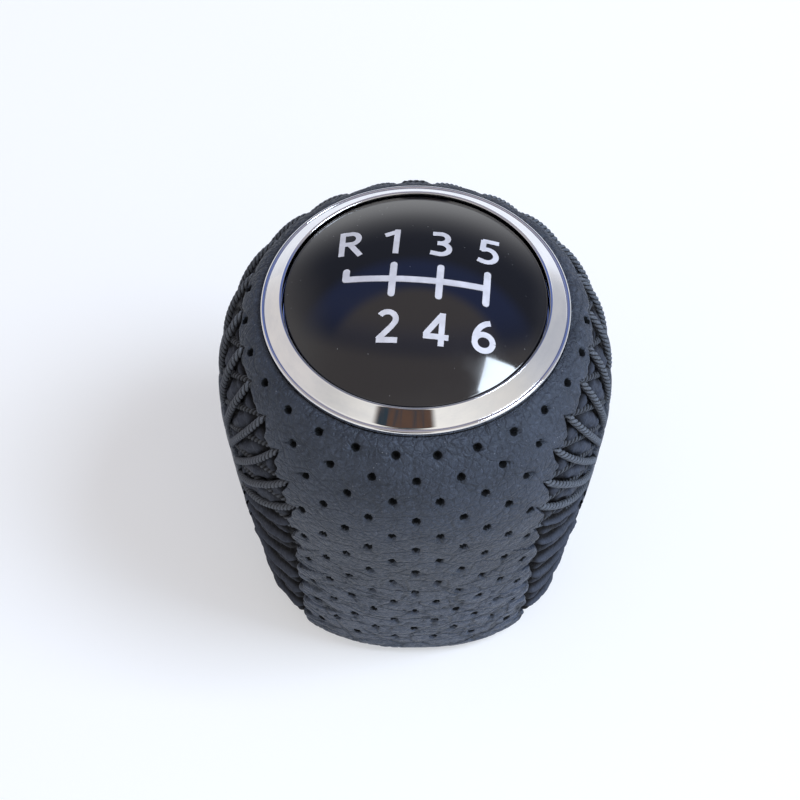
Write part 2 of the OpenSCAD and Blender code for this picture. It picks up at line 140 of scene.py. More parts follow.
def on_body(angle, u, depth=0.0):
    """Points in millimetres at angles in degrees, each at a depth below the leather's face."""
    ra, za = profile(u - HALF_STEP)
    rb, zb = profile(u + HALF_STEP)
    dr, dz = rb - ra, zb - za
    length = np.hypot(dr, dz)
    r, z = profile(u)
    r = r - depth * dz / length
    z = z + depth * dr / length
    power = 2 + (BASE_SQUARE - 2) * np.clip(1 - z / SQUARE_H, 0, 1)
    a = np.radians(angle)
    bulge = np.power(np.abs(np.cos(a)) ** power + np.abs(np.sin(a)) ** power, -1 / power)
    r = r * (1 + (bulge - 1) * np.clip((r - HEM_R) / HEM_W, 0, 1))
    return np.stack([r * np.sin(a), -r * np.cos(a), z], axis=-1)


def outward(angle, u):
    """Unit vectors that point out of the leather."""
    n = on_body(angle, u, -NORMAL_REACH) - on_body(angle, u, NORMAL_REACH)
    return n / np.linalg.norm(n, axis=-1, keepdims=True)


def half_body(angle, u, side, depth=0.0):
    """Points and outward directions on the right half, side 1, or on the left half, side -1."""
    mirror = np.array([side, 1, 1])
    return on_body(angle, u, depth) * mirror, outward(angle, u) * mirror


print("front of the widest section is at", on_body(0.0, 1.0).round(2))

# %% [markdown]
# Two seams run up the sides. Between them lies a strip under the lacing. Each seam goes from
# the base to the shoulder, sweeps back over it and meets the other one behind the ring. The
# table gives, row by row, angle and u of the front panel's edge and of the rear panel's edge.
# A smooth curve through the rows gives every place v between them.

# %% The seams
SEAM_ROWS = np.array([
    [41, 0, 74, 0], [39, 0.23, 73, 0.21], [38, 0.47, 70.5, 0.42], [37.5, 0.72, 67, 0.62],
    [37.5, 0.94, 64.5, 0.78], [41, 1.18, 65, 0.9], [50, 1.43, 69, 1], [66, 1.58, 77, 1.1],
    [85, 1.65, 91, 1.2], [108, 1.7, 110, 1.27], [132, 1.74, 133, 1.32],
    [156, 1.76, 156, 1.34], [180, 1.77, 180, 1.35]], dtype=float)
SEAM_LAST = len(SEAM_ROWS) - 1
BELOW_U = 0.25


def seam_rows(v):
    """The four numbers of the table at each place v along the seams."""
    i = np.clip(np.floor(v).astype(int), 0, SEAM_LAST - 1)
    f = (v - i)[..., None]
    a = SEAM_ROWS[np.maximum(i - 1, 0)]
    b = SEAM_ROWS[i]
    c = SEAM_ROWS[i + 1]
    d = SEAM_ROWS[np.minimum(i + 2, SEAM_LAST)]
    return (2 * b + (c - a) * f + (2 * a - 5 * b + 4 * c - d) * f * f
            + (3 * b - a - 3 * c + d) * f ** 3) / 2


def across(v, w):
    """Angle and u of the place w between the front edge, 0, and the rear edge, 1."""
    rows = seam_rows(np.maximum(v, 0))
    angle = rows[..., 0] + (rows[..., 2] - rows[..., 0]) * w
    u = rows[..., 1] + (rows[..., 3] - rows[..., 1]) * w + BELOW_U * np.minimum(v, 0)
    return angle, u


seam_line = on_body(*across(np.linspace(0, SEAM_LAST, 400), 0.5))
seam_length = np.linalg.norm(np.diff(seam_line, axis=0), axis=1).sum()
print("each seam is", round(seam_length), "mm long")

# %% [markdown]
# The stitches stand at even steps along the seam. They pull on the panels and on the strip, so
# both need to know how far a place lies from the nearest stitch.

# %% Stitches along a seam
STITCHES = 18
PITCH = SEAM_LAST / STITCHES


def from_stitch(v):
    """Distance along the seam to the nearest stitch, in pitches from -0.5 to 0.5."""
    return v / PITCH - np.floor(v / PITCH) - 0.5


print(STITCHES, "stitches a side are about", round(seam_length / STITCHES, 1), "mm apart")

# %% [markdown]
# The leather is punched in a staggered pattern. The pattern's columns stand at even angles,
# and each one starts at the ring. The places are worked out once, as points on the body, so
# that every panel can ask how far a vertex lies from the nearest hole.

# %% Punched holes
HOLES_ROUND = 27
HOLE_R = 0.5
HOLE_RISE = 6.2
COLUMN_STARTS = (0.8, 0.3)
ROWS_DOWN = 12
RING_CLEAR, BASE_CLEAR = 1.6, 0.6

fine_u = np.linspace(2, 0, 400)
fine_r, fine_z = profile(fine_u)
down_length = np.concatenate([[0], np.cumsum(np.hypot(np.diff(fine_r), np.diff(fine_z)))])


def hole_centres():
    """Angle and u of every place of the punch."""
    places = []
    for column in range(2 * HOLES_ROUND):
        for row in range(ROWS_DOWN):
            down = HOLE_RISE * (row + COLUMN_STARTS[column % 2])
            if RING_CLEAR < down < down_length[-1] - BASE_CLEAR:
                places.append((column * 180 / HOLES_ROUND, float(np.interp(down, down_length, fine_u))))
    return np.array(places)


all_holes = hole_centres()
hole_points = on_body(all_holes[:, 0], all_holes[:, 1])
print(len(all_holes), "places of the punch")

# %% [markdown]
# The panels and the strip are sheets that lie on the body, so each one starts as a flat grid.
# Every vertex of the grid is then moved to its place on the body. A grid keeps its rows and
# columns in order, so its first axis can follow the seam and its second axis can cross the
# panel, and the leather's edge comes out exactly on the seam.

# %% A grid that is laid on the body
ON_MIDDLE = 0.001


def grid_numbers(columns, rows):
    """A flat grid as a bmesh, with its vertices' two coordinates from 0 to 1."""
    bm = bmesh.new()
    bmesh.ops.create_grid(bm, x_segments=columns, y_segments=rows, size=1)
    flat = np.array([v.co[:2] for v in bm.verts])
    return bm, (flat[:, 0] + 1) / 2, (flat[:, 1] + 1) / 2


def move_vertices(bm, points):
    """Puts every vertex at its point, given in millimetres."""
    for vert, point in zip(bm.verts, points * MM):
        vert.co = point


def lifted(points, normals, height, lowest):
    """Points moved out by a height, kept above the table, with the middle line kept in the middle."""
    moved = points + normals * height[:, None]
    moved[:, 2] = np.maximum(moved[:, 2], lowest)
    moved[:, 0] = np.where(np.abs(points[:, 0]) < ON_MIDDLE, 0, moved[:, 0])
    return moved


# %% [markdown]
# A sheet is made as a right half and a left half, which differ a little, as hand work does.
# Both are poured into one mesh, and the doubles on the middle line are merged, so that no join
# shows. Each vertex also carries a few numbers, such as its distance from a hole. They are
# kept as attributes of the mesh, and the materials read them later.

# %% From grids to an object
def pour(part, whole):
    """Moves everything from one bmesh into another."""
    mesh = bpy.data.meshes.new("carrier")
    part.to_mesh(mesh)
    part.free()
    whole.from_mesh(mesh)
    bpy.data.meshes.remove(mesh)


def join_halves(halves):
    """One bmesh from pairs of a bmesh and its vertices' values."""
    whole = bmesh.new()
    layers = {key: whole.verts.layers.float.new(key) for key in halves[0][1]}
    for half, values in halves:
        first = len(whole.verts)
        pour(half, whole)
        whole.verts.ensure_lookup_table()
        for key, layer in layers.items():
            for i, number in enumerate(values[key]):
                whole.verts[first + i][layer] = float(number)
    close = 2 * ON_MIDDLE * MM
    middle = [v for v in whole.verts if abs(v.co.x) < close]
    bmesh.ops.remove_doubles(whole, verts=middle, dist=close)
    return whole


def finish_piece(bm, name, smooth=True):
    """Turns a bmesh into an object at the origin."""
    mesh = bpy.data.meshes.new(name)
    bm.to_mesh(mesh)
    bm.free()
    if smooth:
        mesh.shade_smooth()
    else:
        mesh.shade_flat()
    piece = bpy.data.objects.new(name, mesh)
    bpy.context.scene.collection.objects.link(piece)
    print(name, "has", len(mesh.vertices), "vertices and", len(mesh.polygons), "faces")
    return piece


# %% [markdown]
# Leather is never quite even, and all of its unevenness here is a sum of soft noise. Noise that
# is stretched by a different scale for each axis gives long forms, and the thin lines where
# it passes through zero look like creases.

# %% Steps, noise and lines
def smooth_step(low, high, x):
    """0 below low, 1 above high, and a soft change between them."""
    t = np.clip((x - low) / (high - low), 0, 1)
    return t * t * (3 - 2 * t)


def noise_at(points, scale, shift=0.0):
    """Soft noise at points in millimetres, stretched by a scale for each axis."""
    scaled = points * np.asarray(scale) + shift
    return np.array([noise.noise(Vector(p)) for p in scaled])


def crease_lines(points, scale, width, shift=0.0):
    """Thin lines, 1 in their middle, where soft noise passes through zero."""
    return np.clip(1 - np.abs(noise_at(points, scale, shift)) / width, 0, 1) ** 1.5


# %% [markdown]
# Leather that is laced over a hard core doesn't lie flat. Each stitch pulls a groove in from
# the panel's edge, and in the lower half, where the cover tapers, the grooves are longer and a
# lesser one lies between two stitches. Below the row TURN_OVER a groove is sharp on its lower
# side, above it on its upper side. Behind the ring the leather is calmer.

# %% Grooves that start at the stitches
TAPER_ZONE = (18, 36)
CALM, CALMED = (7.0, 9.5), 0.7
TURN_OVER = 3.4
WAVE_DEPTH, GROOVE_DEPTH, LESSER_DEPTH = 0.04, 0.34, 0.12
SHARP_SIDE, LONG_SIDE, LESSER_SIDE = 0.04, 0.07, 0.1


def how_low(points):
    """1 in the lower half, 0 on the shoulder."""
    return 1 - smooth_step(*TAPER_ZONE, points[:, 2])


def how_lively(v):
    """1 up the sides, and less behind the ring."""
    return 1 - CALMED * smooth_step(*CALM, v)


def one_sided(v, stitch):
    """The distance to a stitch, counted upwards below TURN_OVER and downwards above it."""
    return stitch * np.where(v < TURN_OVER, 1, -1)


def groove_depth(points, from_edge, v):
    """Depth of what the stitches pull in near the seam."""
    low = how_low(points)
    wander = noise_at(points, (0.16, 0.16, 0.22), 1.7)
    stitch = from_stitch(v + 0.16 * wander * np.clip(from_edge / 5, 0, 1))
    depth = WAVE_DEPTH * np.cos(2 * np.pi * stitch) * np.exp(-from_edge / 2)
    stitch = one_sided(v, stitch)
    groove = np.where(stitch > 0, np.exp(-stitch / LONG_SIDE), np.exp(-(stitch / SHARP_SIDE) ** 2))
    reach = 0.9 + 6.5 * low * (0.5 + 0.5 * noise_at(points, (0.05, 0.05, 0.4), 9.2))
    depth += (GROOVE_DEPTH - 0.1 * low) * how_lively(v) * groove * np.exp(-from_edge / reach)
    halfway = from_stitch(2 * v + 0.4 * wander)
    lesser = np.exp(-(halfway / LESSER_SIDE) ** 2) * np.exp(-from_edge / (0.6 * reach))
    return depth + LESSER_DEPTH * low * lesser


print("grooves are up to", GROOVE_DEPTH, "mm deep")

# %% [markdown]
# Creases run round the body in three sizes, the long ones only low down. They can't be painted
# on, because light from the side has to catch them, so they are part of the relief. It is a
# height over the body in millimetres: the rounded edge, the grooves, the creases and a swell.

# %% Relief of a leather panel
EDGE_ROUND, EDGE_DROP = 0.8, 0.7
CREASE_DEPTH, SWELL = 0.22, 0.1
MEAN_R = 22


def crease_net(points, angle, from_edge):
    """How deep in a crease each vertex lies, 0 on the flat leather and about 1 in a long crease."""
    low = how_low(points)
    z = points[:, 2]
    around = np.stack([np.radians(angle) * MEAN_R, z, 0 * z], axis=-1)
    around[:, 1] += 0.9 * noise_at(around, (0.3, 0.3, 1), 31.0)
    pull = 0.45 + 0.55 * np.exp(-from_edge / 9)
    creases = low * pull * crease_lines(around, (0.09, 0.42, 1), 0.12, 3.7)
    creases += 0.7 * (0.12 + 0.88 * low) * crease_lines(around, (0.2, 0.55, 1), 0.1, 11.3)
    return creases + 0.45 * (0.3 + 0.7 * low) * crease_lines(around, (0.42, 0.6, 1), 0.1, 21.9)


def panel_relief(points, angle, from_edge, v):
    """Height over the body of the panel's vertices, and how deep in a crease each one lies."""
    t = np.clip(1 - from_edge / EDGE_ROUND, 0, 1)
    creases = crease_net(points, angle, from_edge)
    height = -EDGE_DROP * (1 - np.sqrt(1 - t * t)) - groove_depth(points, from_edge, v)
    height += SWELL * noise_at(points, (0.16, 0.16, 0.16), 5.1) - CREASE_DEPTH * creases
    return height, creases


print("long creases are", CREASE_DEPTH, "mm deep")

# %% [markdown]
# A hole could be cut out of the mesh, but a small deep bowl with a soft rim looks the same and
# keeps the grid whole. A place of the punch counts only if it lies on this panel, far enough
# from its edge.

# %% Punching a panel
HOLE_DEPTH, RIM_DEPTH = 0.9, 0.06
HOLE_MARGIN = 1.0
SAME_PLACE = 0.6


def nearest_holes(points, centres):
    """For each point the nearest centre's number and its distance."""
    best = np.full(len(points), 99.0)
    which = np.zeros(len(points), dtype=int)
    for i, centre in enumerate(centres):
        far = np.linalg.norm(points - centre, axis=1)
        closer = far < best
        best[closer] = far[closer]
        which[closer] = i
    return which, best


def punch(points, from_edge):
    """Distance of each vertex to the nearest hole's centre, and the depth of the leather there."""
    which, far = nearest_holes(hole_points, points)
    centres = hole_points[(far < SAME_PLACE) & (from_edge[which] > HOLE_MARGIN)]
    which, far = nearest_holes(points, centres)
    bowl = HOLE_DEPTH * (1 - smooth_step(0.5 * HOLE_R, 1.12 * HOLE_R, far))
    rim = RIM_DEPTH * np.exp(-((far - 1.5 * HOLE_R) / 0.35) ** 2)
    print("half panel with", len(centres), "holes")
    return far, bowl + rim


# %% [markdown]
# The cut edge of a panel isn't a clean line. Each stitch bites into it, so the edge is a row of
# uneven teeth with frayed sides. The teeth have to follow the seam, so they are an offset of
# the grid's last rows, as a share of the strip's width.

# %% A notched edge
NOTCH = 0.115
BITE_SIDE = 0.06


def tooth(v):
    """The outline of the teeth: a steep side at each stitch, then a long slope."""
    stitch = one_sided(v, from_stitch(v))
    return np.where(stitch > 0, np.clip(1 - stitch / 0.5, 0, 1) ** 1.3, np.exp(-(stitch / BITE_SIDE) ** 2))


def notches(v, side):
    """How far the edge steps back at each place along the seam."""
    number = np.stack([np.floor(v / PITCH), np.full_like(v, 3.3 * side), 0 * v], axis=-1)
    uneven = 1 + 0.7 * noise_at(number, (0.77, 1, 1), 0.4)
    frayed = 0.5 * noise_at(np.stack([v, v, 0 * v], axis=-1), (5, 3, 1), 7.0 * side)
    return NOTCH * how_lively(v) * (uneven * (tooth(v) - 0.35) + frayed) * smooth_step(-0.2, 0.2, v)


def distance_to_edge(points, column, row):
    """Distance of each vertex to the cut edge, added up across the panel."""
    order = np.lexsort((row, column))
    grid = points[order].reshape(column.max() + 1, row.max() + 1, 3)
    steps = np.linalg.norm(np.diff(grid, axis=1), axis=2)
    still_to_go = np.cumsum(steps[:, ::-1], axis=1)[:, ::-1]
    distance = np.empty(len(points))
    distance[order] = np.pad(still_to_go, ((0, 0), (0, 1))).ravel()
    return distance


sample_v = np.linspace(0, TURN_OVER, 200)
print("the edge steps back by", *np.round([notches(sample_v, 1).min(), notches(sample_v, 1).max()], 3),
      "of the strip's width")

# %% [markdown]
# A panel's grid runs from an inner line to the seam. On the front panel the inner line climbs
# the middle of the apron and then follows the ring round to the back. On the rear panel it is
# the hem. The last few rows turn down at the seam, so that the leather's cut edge has a
# thickness.

# %% Half of a panel
EDGE_DEPTHS = np.array([0.35, 0.9, 1.6, 2.4])
UNDER_V = 1.2
CROWD = 0.12
PANEL_LOWEST = 0.12


def panel_half(columns, rows, w, inner_line, side):
    """One half of the front panel, w 0, or the rear panel, w 1, with its vertices' values."""
    bm, a, b = grid_numbers(columns, rows)
    column, row = np.rint(a * columns).astype(int), np.rint(b * rows).astype(int)
    edge_rows = len(EDGE_DEPTHS)
    v = -UNDER_V + (SEAM_LAST + UNDER_V) * a
    s = np.clip(row / (rows - edge_rows), 0, 1)
    s = s + CROWD * np.sin(np.pi * s) * s
    into = 1 if w == 1 else -1
    edge_angle, edge_u = across(v, w + into * notches(v, side))
    inner_angle, inner_u = inner_line(v)
    angle = inner_angle + (edge_angle - inner_angle) * s
    u = inner_u + (edge_u - inner_u) * s
    points, normals = half_body(angle, u, side)
    from_edge = distance_to_edge(points, column, row)
    height, creases = panel_relief(points, angle * side, from_edge, v)
    edge_depth = np.concatenate([[0], EDGE_DEPTHS])[np.clip(row - (rows - edge_rows), 0, edge_rows)]
    from_hole, hole_depth = punch(points, from_edge)
    move_vertices(bm, lifted(points, normals, height - edge_depth - hole_depth, PANEL_LOWEST))
    if side * into > 0:
        bmesh.ops.reverse_faces(bm, faces=bm.faces)
    return bm, {"from_hole": from_hole, "from_edge": from_edge - edge_depth, "crease": creases}


# %% [markdown]
# The two inner lines give angle and u for each place v of the seam. The front one starts to
# follow the ring at row 4.5 of the seam. The rear one stays under the base, and its angles
# fan out, so that the grid's columns stay about upright.

# %% Front and rear panels
FRONT_GRID, REAR_GRID = (300, 96), (260, 150)
RING_START = 4.5
RING_ROWS = [4.5, 5, 6, 7, 8, 9, 10, 11, 12]
RING_ANGLES = [0, 9, 32, 57, 82, 107, 131, 155.5, 180]
CLIMB_START, RING_U = 0.23 * RING_START, 2.03
HEM_ROWS = [-UNDER_V, *range(SEAM_LAST + 1)]
HEM_ANGLES = [74, 74, 77, 81, 87, 95, 104, 114, 125, 136, 147, 158, 169, 180]


def front_inner(v):
    climb = np.clip(v / RING_START, 0, 1)
    u = np.where(v < 0, BELOW_U * v, CLIMB_START * climb + (RING_U - CLIMB_START) * climb ** 2)
    return np.interp(v, RING_ROWS, RING_ANGLES), u


def rear_inner(v):
    return np.interp(v, HEM_ROWS, HEM_ANGLES), np.full_like(v, UNDER_U)


front_leather = finish_piece(join_halves(
    [panel_half(*FRONT_GRID, 0, front_inner, side) for side in (1, -1)]), "front_panel")
rear_leather = finish_piece(join_halves(
    [panel_half(*REAR_GRID, 1, rear_inner, side) for side in (1, -1)]), "rear_panel")

# %% [markdown]
# The strip under the lacing is thin and much wider than its gap, so it gathers. In the lower
# half it lies in slanting folds, two for each stitch, and they slant more on the right side.
# Higher up it puffs out as diamonds between the crossed threads, with a fan of fine folds. The
# threads lie in the valleys, so strip and threads count their slants in the same stitches.

# %% Folds and diamonds
FOLD_TOP = 4.6
LEANS = {1: 0.95, -1: 0.5}


def slanting_folds(v, w, points, wander, lean):
    """Height from 0 to 1 of the folds in the lower half."""
    fold = v / PITCH + lean * w + wander
    folds = np.abs(np.cos(2 * np.pi * fold)) ** 0.8
    folds *= 1 - 0.3 * np.cos(np.pi * fold) ** 2
    return folds + 0.15 * noise_at(points, (0.3, 0.3, 0.3), 6.0)


def puffed_diamonds(v, w, wander):
    """Height from 0 to 1 of the leather between crossed threads."""
    on_top, underneath = v / PITCH + w, v / PITCH - w
    puff = np.abs(np.cos(np.pi * on_top)) ** 0.35
    puff *= 0.55 + 0.45 * np.abs(np.cos(np.pi * underneath)) ** 0.6
    fan = np.abs(np.sin(np.pi * (4.5 * (w - 0.5) * (1 + np.abs(from_stitch(v))) + 3 * wander)))
    return puff - 0.16 * fan ** 0.5


# %% [markdown]
# The strip is one sheet from panel edge to panel edge and a little under both. Its face lies
# 1.75 mm deep in the valleys and comes up nearly flush where it puffs out. It stays low right at
# the panels' edges, so that their cut thickness shows.

# %% The gathered strip
STRIP_GRID = (460, 56)
VALLEY_DEPTH, PUFF_RISE, EDGE_REACH = 1.75, 1.65, 1.8
UNDER_PANEL, TUCK_DEPTH, HEM_DEPTH = 0.1, 0.8, 0.6
STRIP_LOWEST = 0.15


def strip_depth(v, w, width, points, lean):
    """Depth of the strip's face below the panels' face, in millimetres."""
    wander = 0.16 * noise_at(points, (0.22, 0.22, 0.22), 4.0)
    upper = smooth_step(FOLD_TOP - 1.2, FOLD_TOP, v)
    puff = slanting_folds(v, w, points, wander, lean) * (1 - upper)
    puff += puffed_diamonds(v, w, wander) * upper * (1 - 0.35 * smooth_step(*CALM, v))
    rise = smooth_step(0.0, EDGE_REACH, np.minimum(w, 1 - w) * width)
    depth = VALLEY_DEPTH - PUFF_RISE * puff * (0.3 + 0.7 * rise) - 0.1 * rise
    depth = np.where(v < 0, HEM_DEPTH + (depth - HEM_DEPTH) * smooth_step(-0.8, 0.0, v), depth)
    soft, fine = noise_at(points, (0.5, 0.5, 0.5), 8.0), noise_at(points, (1.3, 1.3, 1.3), 2.0)
    return depth + 0.12 * soft + 0.07 * fine


def strip_half(columns, rows, side):
    """One half of the strip, with the depth of its vertices."""
    bm, a, b = grid_numbers(columns, rows)
    v = -UNDER_V + (SEAM_LAST + UNDER_V) * a
    w = -UNDER_PANEL + (1 + 2 * UNDER_PANEL) * b
    front = on_body(*across(v, np.zeros_like(v)))
    rear = on_body(*across(v, np.ones_like(v)))
    width = np.linalg.norm(front - rear, axis=1)
    points, normals = half_body(*across(v, w), side)
    depth = strip_depth(v, w, width, points, LEANS[side])
    tuck = TUCK_DEPTH * np.clip(np.maximum(-w, w - 1) / UNDER_PANEL, 0, 1)
    move_vertices(bm, lifted(points, normals, -(depth + tuck), STRIP_LOWEST))
    if side < 0:
        bmesh.ops.reverse_faces(bm, faces=bm.faces)
    return bm, {"valley": depth}


seam_leather = finish_piece(join_halves(
    [strip_half(*STRIP_GRID, side) for side in (1, -1)]), "gathered_strip")

# %% [markdown]
# The lacing is a cord of three plies. Each stitch is a tube that starts as a grid, rolled up
# round the stitch's path. Its section has three lobes that turn as the tube goes on, and that
# turn is what makes a cord look twisted. The attribute ply is high on a lobe and low in the
# valley between two, where the thread gets painted shade.

# %% A twisted cord
DOUBLES = 0.001 * MM
CORD_R = 0.46
CORD_SIDES = 14
LAY = 2.2
LOBES = 3
CORE_SHARE = 0.62


def cord_tube(path, normals, phase, shade):
    """A twisted tube along a path in millimetres; a shade factor below 1 paints its plies darker as shade."""
    count = len(path)
    bm, a, b = grid_numbers(count - 1, CORD_SIDES)
    i = np.rint(a * (count - 1)).astype(int)
    tangent = np.gradient(path, axis=0)
    tangent /= np.linalg.norm(tangent, axis=1)[:, None]
    sideways = np.cross(tangent, normals)
    sideways /= np.linalg.norm(sideways, axis=1)[:, None]
    up = np.cross(sideways, tangent)
    run = np.concatenate([[0], np.cumsum(np.linalg.norm(np.diff(path, axis=0), axis=1))])
    turn = 2 * np.pi * b
    lobe = np.abs(np.cos(LOBES / 2 * (turn - 2 * np.pi * run[i] / LAY) + phase)) ** 0.7
    taper = np.clip(np.minimum(i, count - 1 - i) / 4.0, 0.55, 1)
    radius = (CORD_R * (CORE_SHARE + (1 - CORE_SHARE) * lobe) * taper)[:, None]
    round_path = np.cos(turn)[:, None] * sideways[i] + np.sin(turn)[:, None] * up[i]
    move_vertices(bm, path[i] + radius * round_path)
    ply = bm.verts.layers.float.new("ply")
    for vert, value in zip(bm.verts, lobe):
        vert[ply] = value * shade
    bmesh.ops.remove_doubles(bm, verts=bm.verts, dist=DOUBLES)
    bmesh.ops.recalc_face_normals(bm, faces=bm.faces)
    return bm


print("the cord is", 2 * CORD_R, "mm thick and turns once in", LAY, "mm")

# %% [markdown]
# A stitch runs from one edge of the strip to the other, one pitch further on. Its two ends dive
# into the leather and its middle arches over the strip. Behind the ring, where the two seams
# meet, one short thread ties the last stitch of the right side to that of the left side.

# %% Paths of the stitches
STITCH_STEPS, TIE_STEPS = 80, 20


def stitch_path(start, end, side, ends_depth, middle_depth):
    """Points and normals along one stitch, between two places (v, w) on the strip."""
    t = np.linspace(0, 1, STITCH_STEPS)
    v = start[0] + (end[0] - start[0]) * t
    w = start[1] + (end[1] - start[1]) * t
    arch = np.clip(np.sin(np.pi * t), 0, 1) ** 0.35
    return half_body(*across(v, w), side, ends_depth + (middle_depth - ends_depth) * arch)


def back_tie(v, w):
    """Points and normals of the thread that joins the two last stitches behind the ring."""
    t = np.linspace(-1, 1, TIE_STEPS)
    angle_end, u_end = across(np.array([v]), np.array([w]))
    angle = 180 + (180 - angle_end[0]) * t
    angle = np.where(angle > 180, angle - 360, angle)
    depth = 0.6 - 0.35 * np.clip(np.cos(np.pi / 2 * t), 0, 1) ** 0.4
    return half_body(angle, np.full_like(t, u_end[0]), 1, depth)


sample_path = stitch_path((PITCH, 0), (2 * PITCH, 1), 1, 0.0, 0.0)[0]
print("a low stitch is", round(np.linalg.norm(np.diff(sample_path, axis=0), axis=1).sum(), 1), "mm long")

# %% [markdown]
# The threads on top slant one way and the threads underneath slant the other way, so they
# cross in the middle of the strip. In the lower half, where the strip lies in folds, both sink
# into them. The threads underneath lie deeper, and their plies are painted darker as shade.

# %% The lacing
PHASE_STEP, TIE_PHASE = 1.3, 0.4
SURFACING = (FOLD_TOP - 1.4, FOLD_TOP + 0.2)
BACK_SINK = 0.3


def lacing(name, start_w, end_w, tie_w, ends_depth, low_middle, high_middle, shade):
    """All stitches of one slant, with the tie across the back."""
    whole = bmesh.new()
    whole.verts.layers.float.new("ply")
    for side in (1, -1):
        for i in range(STITCHES - 1):
            start = ((i + 0.5) * PITCH, start_w)
            end = ((i + 1.5) * PITCH, end_w)
            middle = low_middle + (high_middle - low_middle) * float(smooth_step(*SURFACING, end[0]))
            middle += BACK_SINK * float(smooth_step(*CALM, end[0]))
            path = stitch_path(start, end, side, ends_depth, middle)
            pour(cord_tube(*path, i * PHASE_STEP, shade), whole)
    pour(cord_tube(*back_tie((STITCHES - 0.5) * PITCH, tie_w), TIE_PHASE, shade), whole)
    return finish_piece(whole, name)


lacing_over = lacing("lacing_on_top", start_w=1.06, end_w=-0.07, tie_w=1.04, ends_depth=0.8,
                     low_middle=1.3, high_middle=0.0, shade=1.0)
lacing_under = lacing("lacing_underneath", start_w=-0.04, end_w=1.05, tie_w=0.04, ends_depth=1.0,
                      low_middle=1.7, high_middle=0.8, shade=0.6)

# %% [markdown]
# The trim ring and the cap are turned shapes, and their gloss shows every facet. So each one is
# a profile that is spun round the knob's axis in many fine steps. Each corner is rounded over
# first, because a sharp edge has no highlight.

# %% Turned pieces
SPIN_STEPS = 256


def rounded(corners, size):
    """The corners of an open profile, each cut into a short arc."""
    points = [corners[0]]
    for before, here, after in zip(corners, corners[1:], corners[2:]):
        before, here, after = (Vector(p) for p in (before, here, after))
        cut = min(size, 0.45 * (before - here).length, 0.45 * (after - here).length)
        start = here + (before - here).normalized() * cut
        end = here + (after - here).normalized() * cut
        for t in (0, 0.25, 0.5, 0.75, 1):
            points.append(tuple((1 - t) ** 2 * start + 2 * t * (1 - t) * here + t * t * end))
    return points + [corners[-1]]


def turned(name, outline):
    """Spins an outline of (radius, height) in millimetres round Z."""
    bm = bmesh.new()
    verts = [bm.verts.new((r * MM, 0, z * MM)) for r, z in outline]
    edges = [bm.edges.new(pair) for pair in zip(verts, verts[1:])]
    bmesh.ops.spin(bm, geom=verts + edges, axis=(0, 0, 1), cent=(0, 0, 0), angle=2 * math.pi,
                   steps=SPIN_STEPS, use_merge=True)
    bmesh.ops.remove_doubles(bm, verts=bm.verts, dist=DOUBLES)
    bmesh.ops.recalc_face_normals(bm, faces=bm.faces)
    return finish_piece(bm, name)


# %% [markdown]
# The ring has a low outer edge, a fine line inside it and one broad slope up to the cap. That
# slope gives the wide bright band in the picture. Its outer edge and the lip at the cap slope a
# little too, because flat steps would mirror the room as hard lines.

# %% Trim ring
RING_R, RING_TOP = node_box("trim_ring")[1][0::2]
RING_BORE_R = 15.65
RING_EDGE_H = 50.0
RING_ROUND = 0.07
FOOT_R, FOOT_Z, BARREL_R, BRIM_Z = 14.3, 48.0, 16.9, 49.3
SEAT_Z = FOOT_Z + 1
LINE_R = RING_R - 0.45

ring_outline = rounded([
    (FOOT_R, FOOT_Z), (BARREL_R, FOOT_Z), (BARREL_R, BRIM_Z), (RING_R, BRIM_Z),
    (RING_R, RING_EDGE_H - 0.16), (RING_R - 0.14, RING_EDGE_H - 0.03), (LINE_R + 0.12, RING_EDGE_H),
    (LINE_R, RING_EDGE_H - 0.07), (LINE_R - 0.14, RING_EDGE_H + 0.08), (RING_BORE_R + 0.36, RING_TOP - 0.09),
    (RING_BORE_R + 0.27, RING_TOP), (RING_BORE_R, RING_TOP - 0.08), (RING_BORE_R, SEAT_Z),
    (FOOT_R, SEAT_Z), (FOOT_R, FOOT_Z)], RING_ROUND)
ring = turned("bright_ring", ring_outline)

# %% [markdown]
# The cap is a shallow dome of hard plastic that sits in the ring with a fine gap all round. The
# gap reads as a dark line, and it is what tells the eye that ring and cap are two pieces.

# %% Domed cap
CAP_R = RING_BORE_R - 0.2
CAP_EDGE_Z = RING_TOP - 0.45
CAP_ROUND = 0.35
CAP_FOOT_Z, CAP_WALL = 49.1, 1.6
HOLLOW_EDGE_Z, HOLLOW_TOP_Z = 50.4, 52.3
DOME_R = 36.0
DOME_CENTRE = CAP_EDGE_Z - math.sqrt(DOME_R ** 2 - CAP_R ** 2)
DOME_STEPS = 40

dome = []
for k in range(DOME_STEPS):
    r = CAP_R * k / DOME_STEPS
    dome.append((r, DOME_CENTRE + math.sqrt(DOME_R ** 2 - r ** 2)))
cap_outline = rounded(dome + [
    (CAP_R - 0.03, CAP_EDGE_Z + 0.02), (CAP_R, CAP_EDGE_Z - 0.4), (CAP_R, CAP_FOOT_Z),
    (CAP_R - CAP_WALL, CAP_FOOT_Z), (CAP_R - CAP_WALL, HOLLOW_EDGE_Z), (0, HOLLOW_TOP_Z)], CAP_ROUND)
cap = turned("domed_cap", cap_outline)

# %% [markdown]
# The shift pattern's numbers are printed on the cap. Each one is drawn as a few pen strokes of
# even width, in a box one unit high, because that is how such plain numerals are designed. The
# printed lines between the numbers are a CAD node and stay as they are.

# %% Numerals as pen strokes
def arc(cx, cy, rx, ry, start, end, count=14):
    """Points of an ellipse's arc, with angles in degrees from the +X side."""
    turns = [math.radians(start + (end - start) * k / (count - 1)) for k in range(count)]
    return [(cx + rx * math.cos(t), cy + ry * math.sin(t)) for t in turns]


